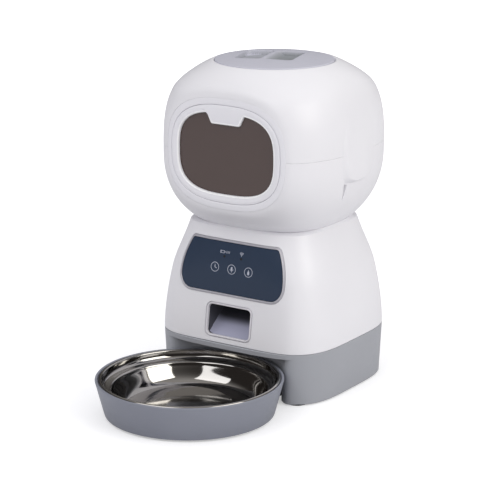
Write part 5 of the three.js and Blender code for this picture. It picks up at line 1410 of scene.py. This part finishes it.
def studio_light():
    """A studio that is bright overhead and softly lit all round, with a large lamp at its right and another
    in front. What shines sees darker, warmer walls, so polished steel has something dark to show. Seen
    directly, the surround is plain white."""
    world = bpy.data.worlds.new("studio")
    world.use_nodes = True
    tree = world.node_tree
    tree.nodes.clear()
    way = node(tree, "ShaderNodeTexCoord").outputs["Generated"]
    over = node(tree, "ShaderNodeVectorMath", {0: way, 1: (0.05, 0.25, 0.967)}, operation="DOT_PRODUCT")
    span = {"Value": over.outputs["Value"], "From Min": 0.3, "From Max": 0.9}
    dome = node(tree, "ShaderNodeMapRange", span, interpolation_type="SMOOTHSTEP").outputs[0]
    lit = {0: dome, 6: (0.57, 0.565, 0.57, 1), 7: (0.93, 0.93, 0.94, 1)}
    lit = node(tree, "ShaderNodeMix", lit, data_type="RGBA")
    mirrored = {0: dome, 6: (0.03, 0.026, 0.024, 1), 7: (0.4, 0.385, 0.37, 1)}
    mirrored = node(tree, "ShaderNodeMix", mirrored, data_type="RGBA")
    path = node(tree, "ShaderNodeLightPath").outputs
    either = {0: path["Is Glossy Ray"], 6: lit.outputs[2], 7: mirrored.outputs[2]}
    either = node(tree, "ShaderNodeMix", either, data_type="RGBA")
    shown = {0: path["Is Camera Ray"], 6: either.outputs[2], 7: (1.0, 1.0, 1.0, 1)}
    shown = node(tree, "ShaderNodeMix", shown, data_type="RGBA")
    around = node(tree, "ShaderNodeBackground", {"Color": shown.outputs[2], "Strength": 1.0})
    node(tree, "ShaderNodeOutputWorld", {"Surface": around.outputs[0]})
    bpy.context.scene.world = world
    bpy.context.scene.view_settings.view_transform = "Standard"
    aim = (0, 0, 0.1)
    softbox("lamp_right", (1.8, -0.15, 1.12), aim, (1.35, 1.2), 14.5, (1.0, 0.985, 0.92))
    softbox("lamp_front", (-0.38, -1.5, 1.65), aim, (1.8, 1.1), 10)


def camera():
    """The camera: azimuth and elevation about a point near the model's middle, with a long lens."""
    azimuth, elevation = math.radians(33.64), math.radians(15.23)
    distance, aside, height = 1979.7, -24.0, 127.54
    level = math.cos(elevation)
    back = np.array([math.sin(azimuth) * level, -math.cos(azimuth) * level, math.sin(elevation)])
    right = np.array([math.cos(azimuth), math.sin(azimuth), 0])
    data = bpy.data.cameras.new("camera")
    data.sensor_width = 36
    data.lens = 142.87
    data.clip_start, data.clip_end = 0.05, 50
    made = bpy.data.objects.new("camera", data)
    made.location = place(right * aside + [0, 0, height] + back * distance)
    made.rotation_euler = Vector(-back).to_track_quat("-Z", "Y").to_euler()
    bpy.context.collection.objects.link(made)
    bpy.context.scene.camera = made


studio_floor()
studio_light()
camera()
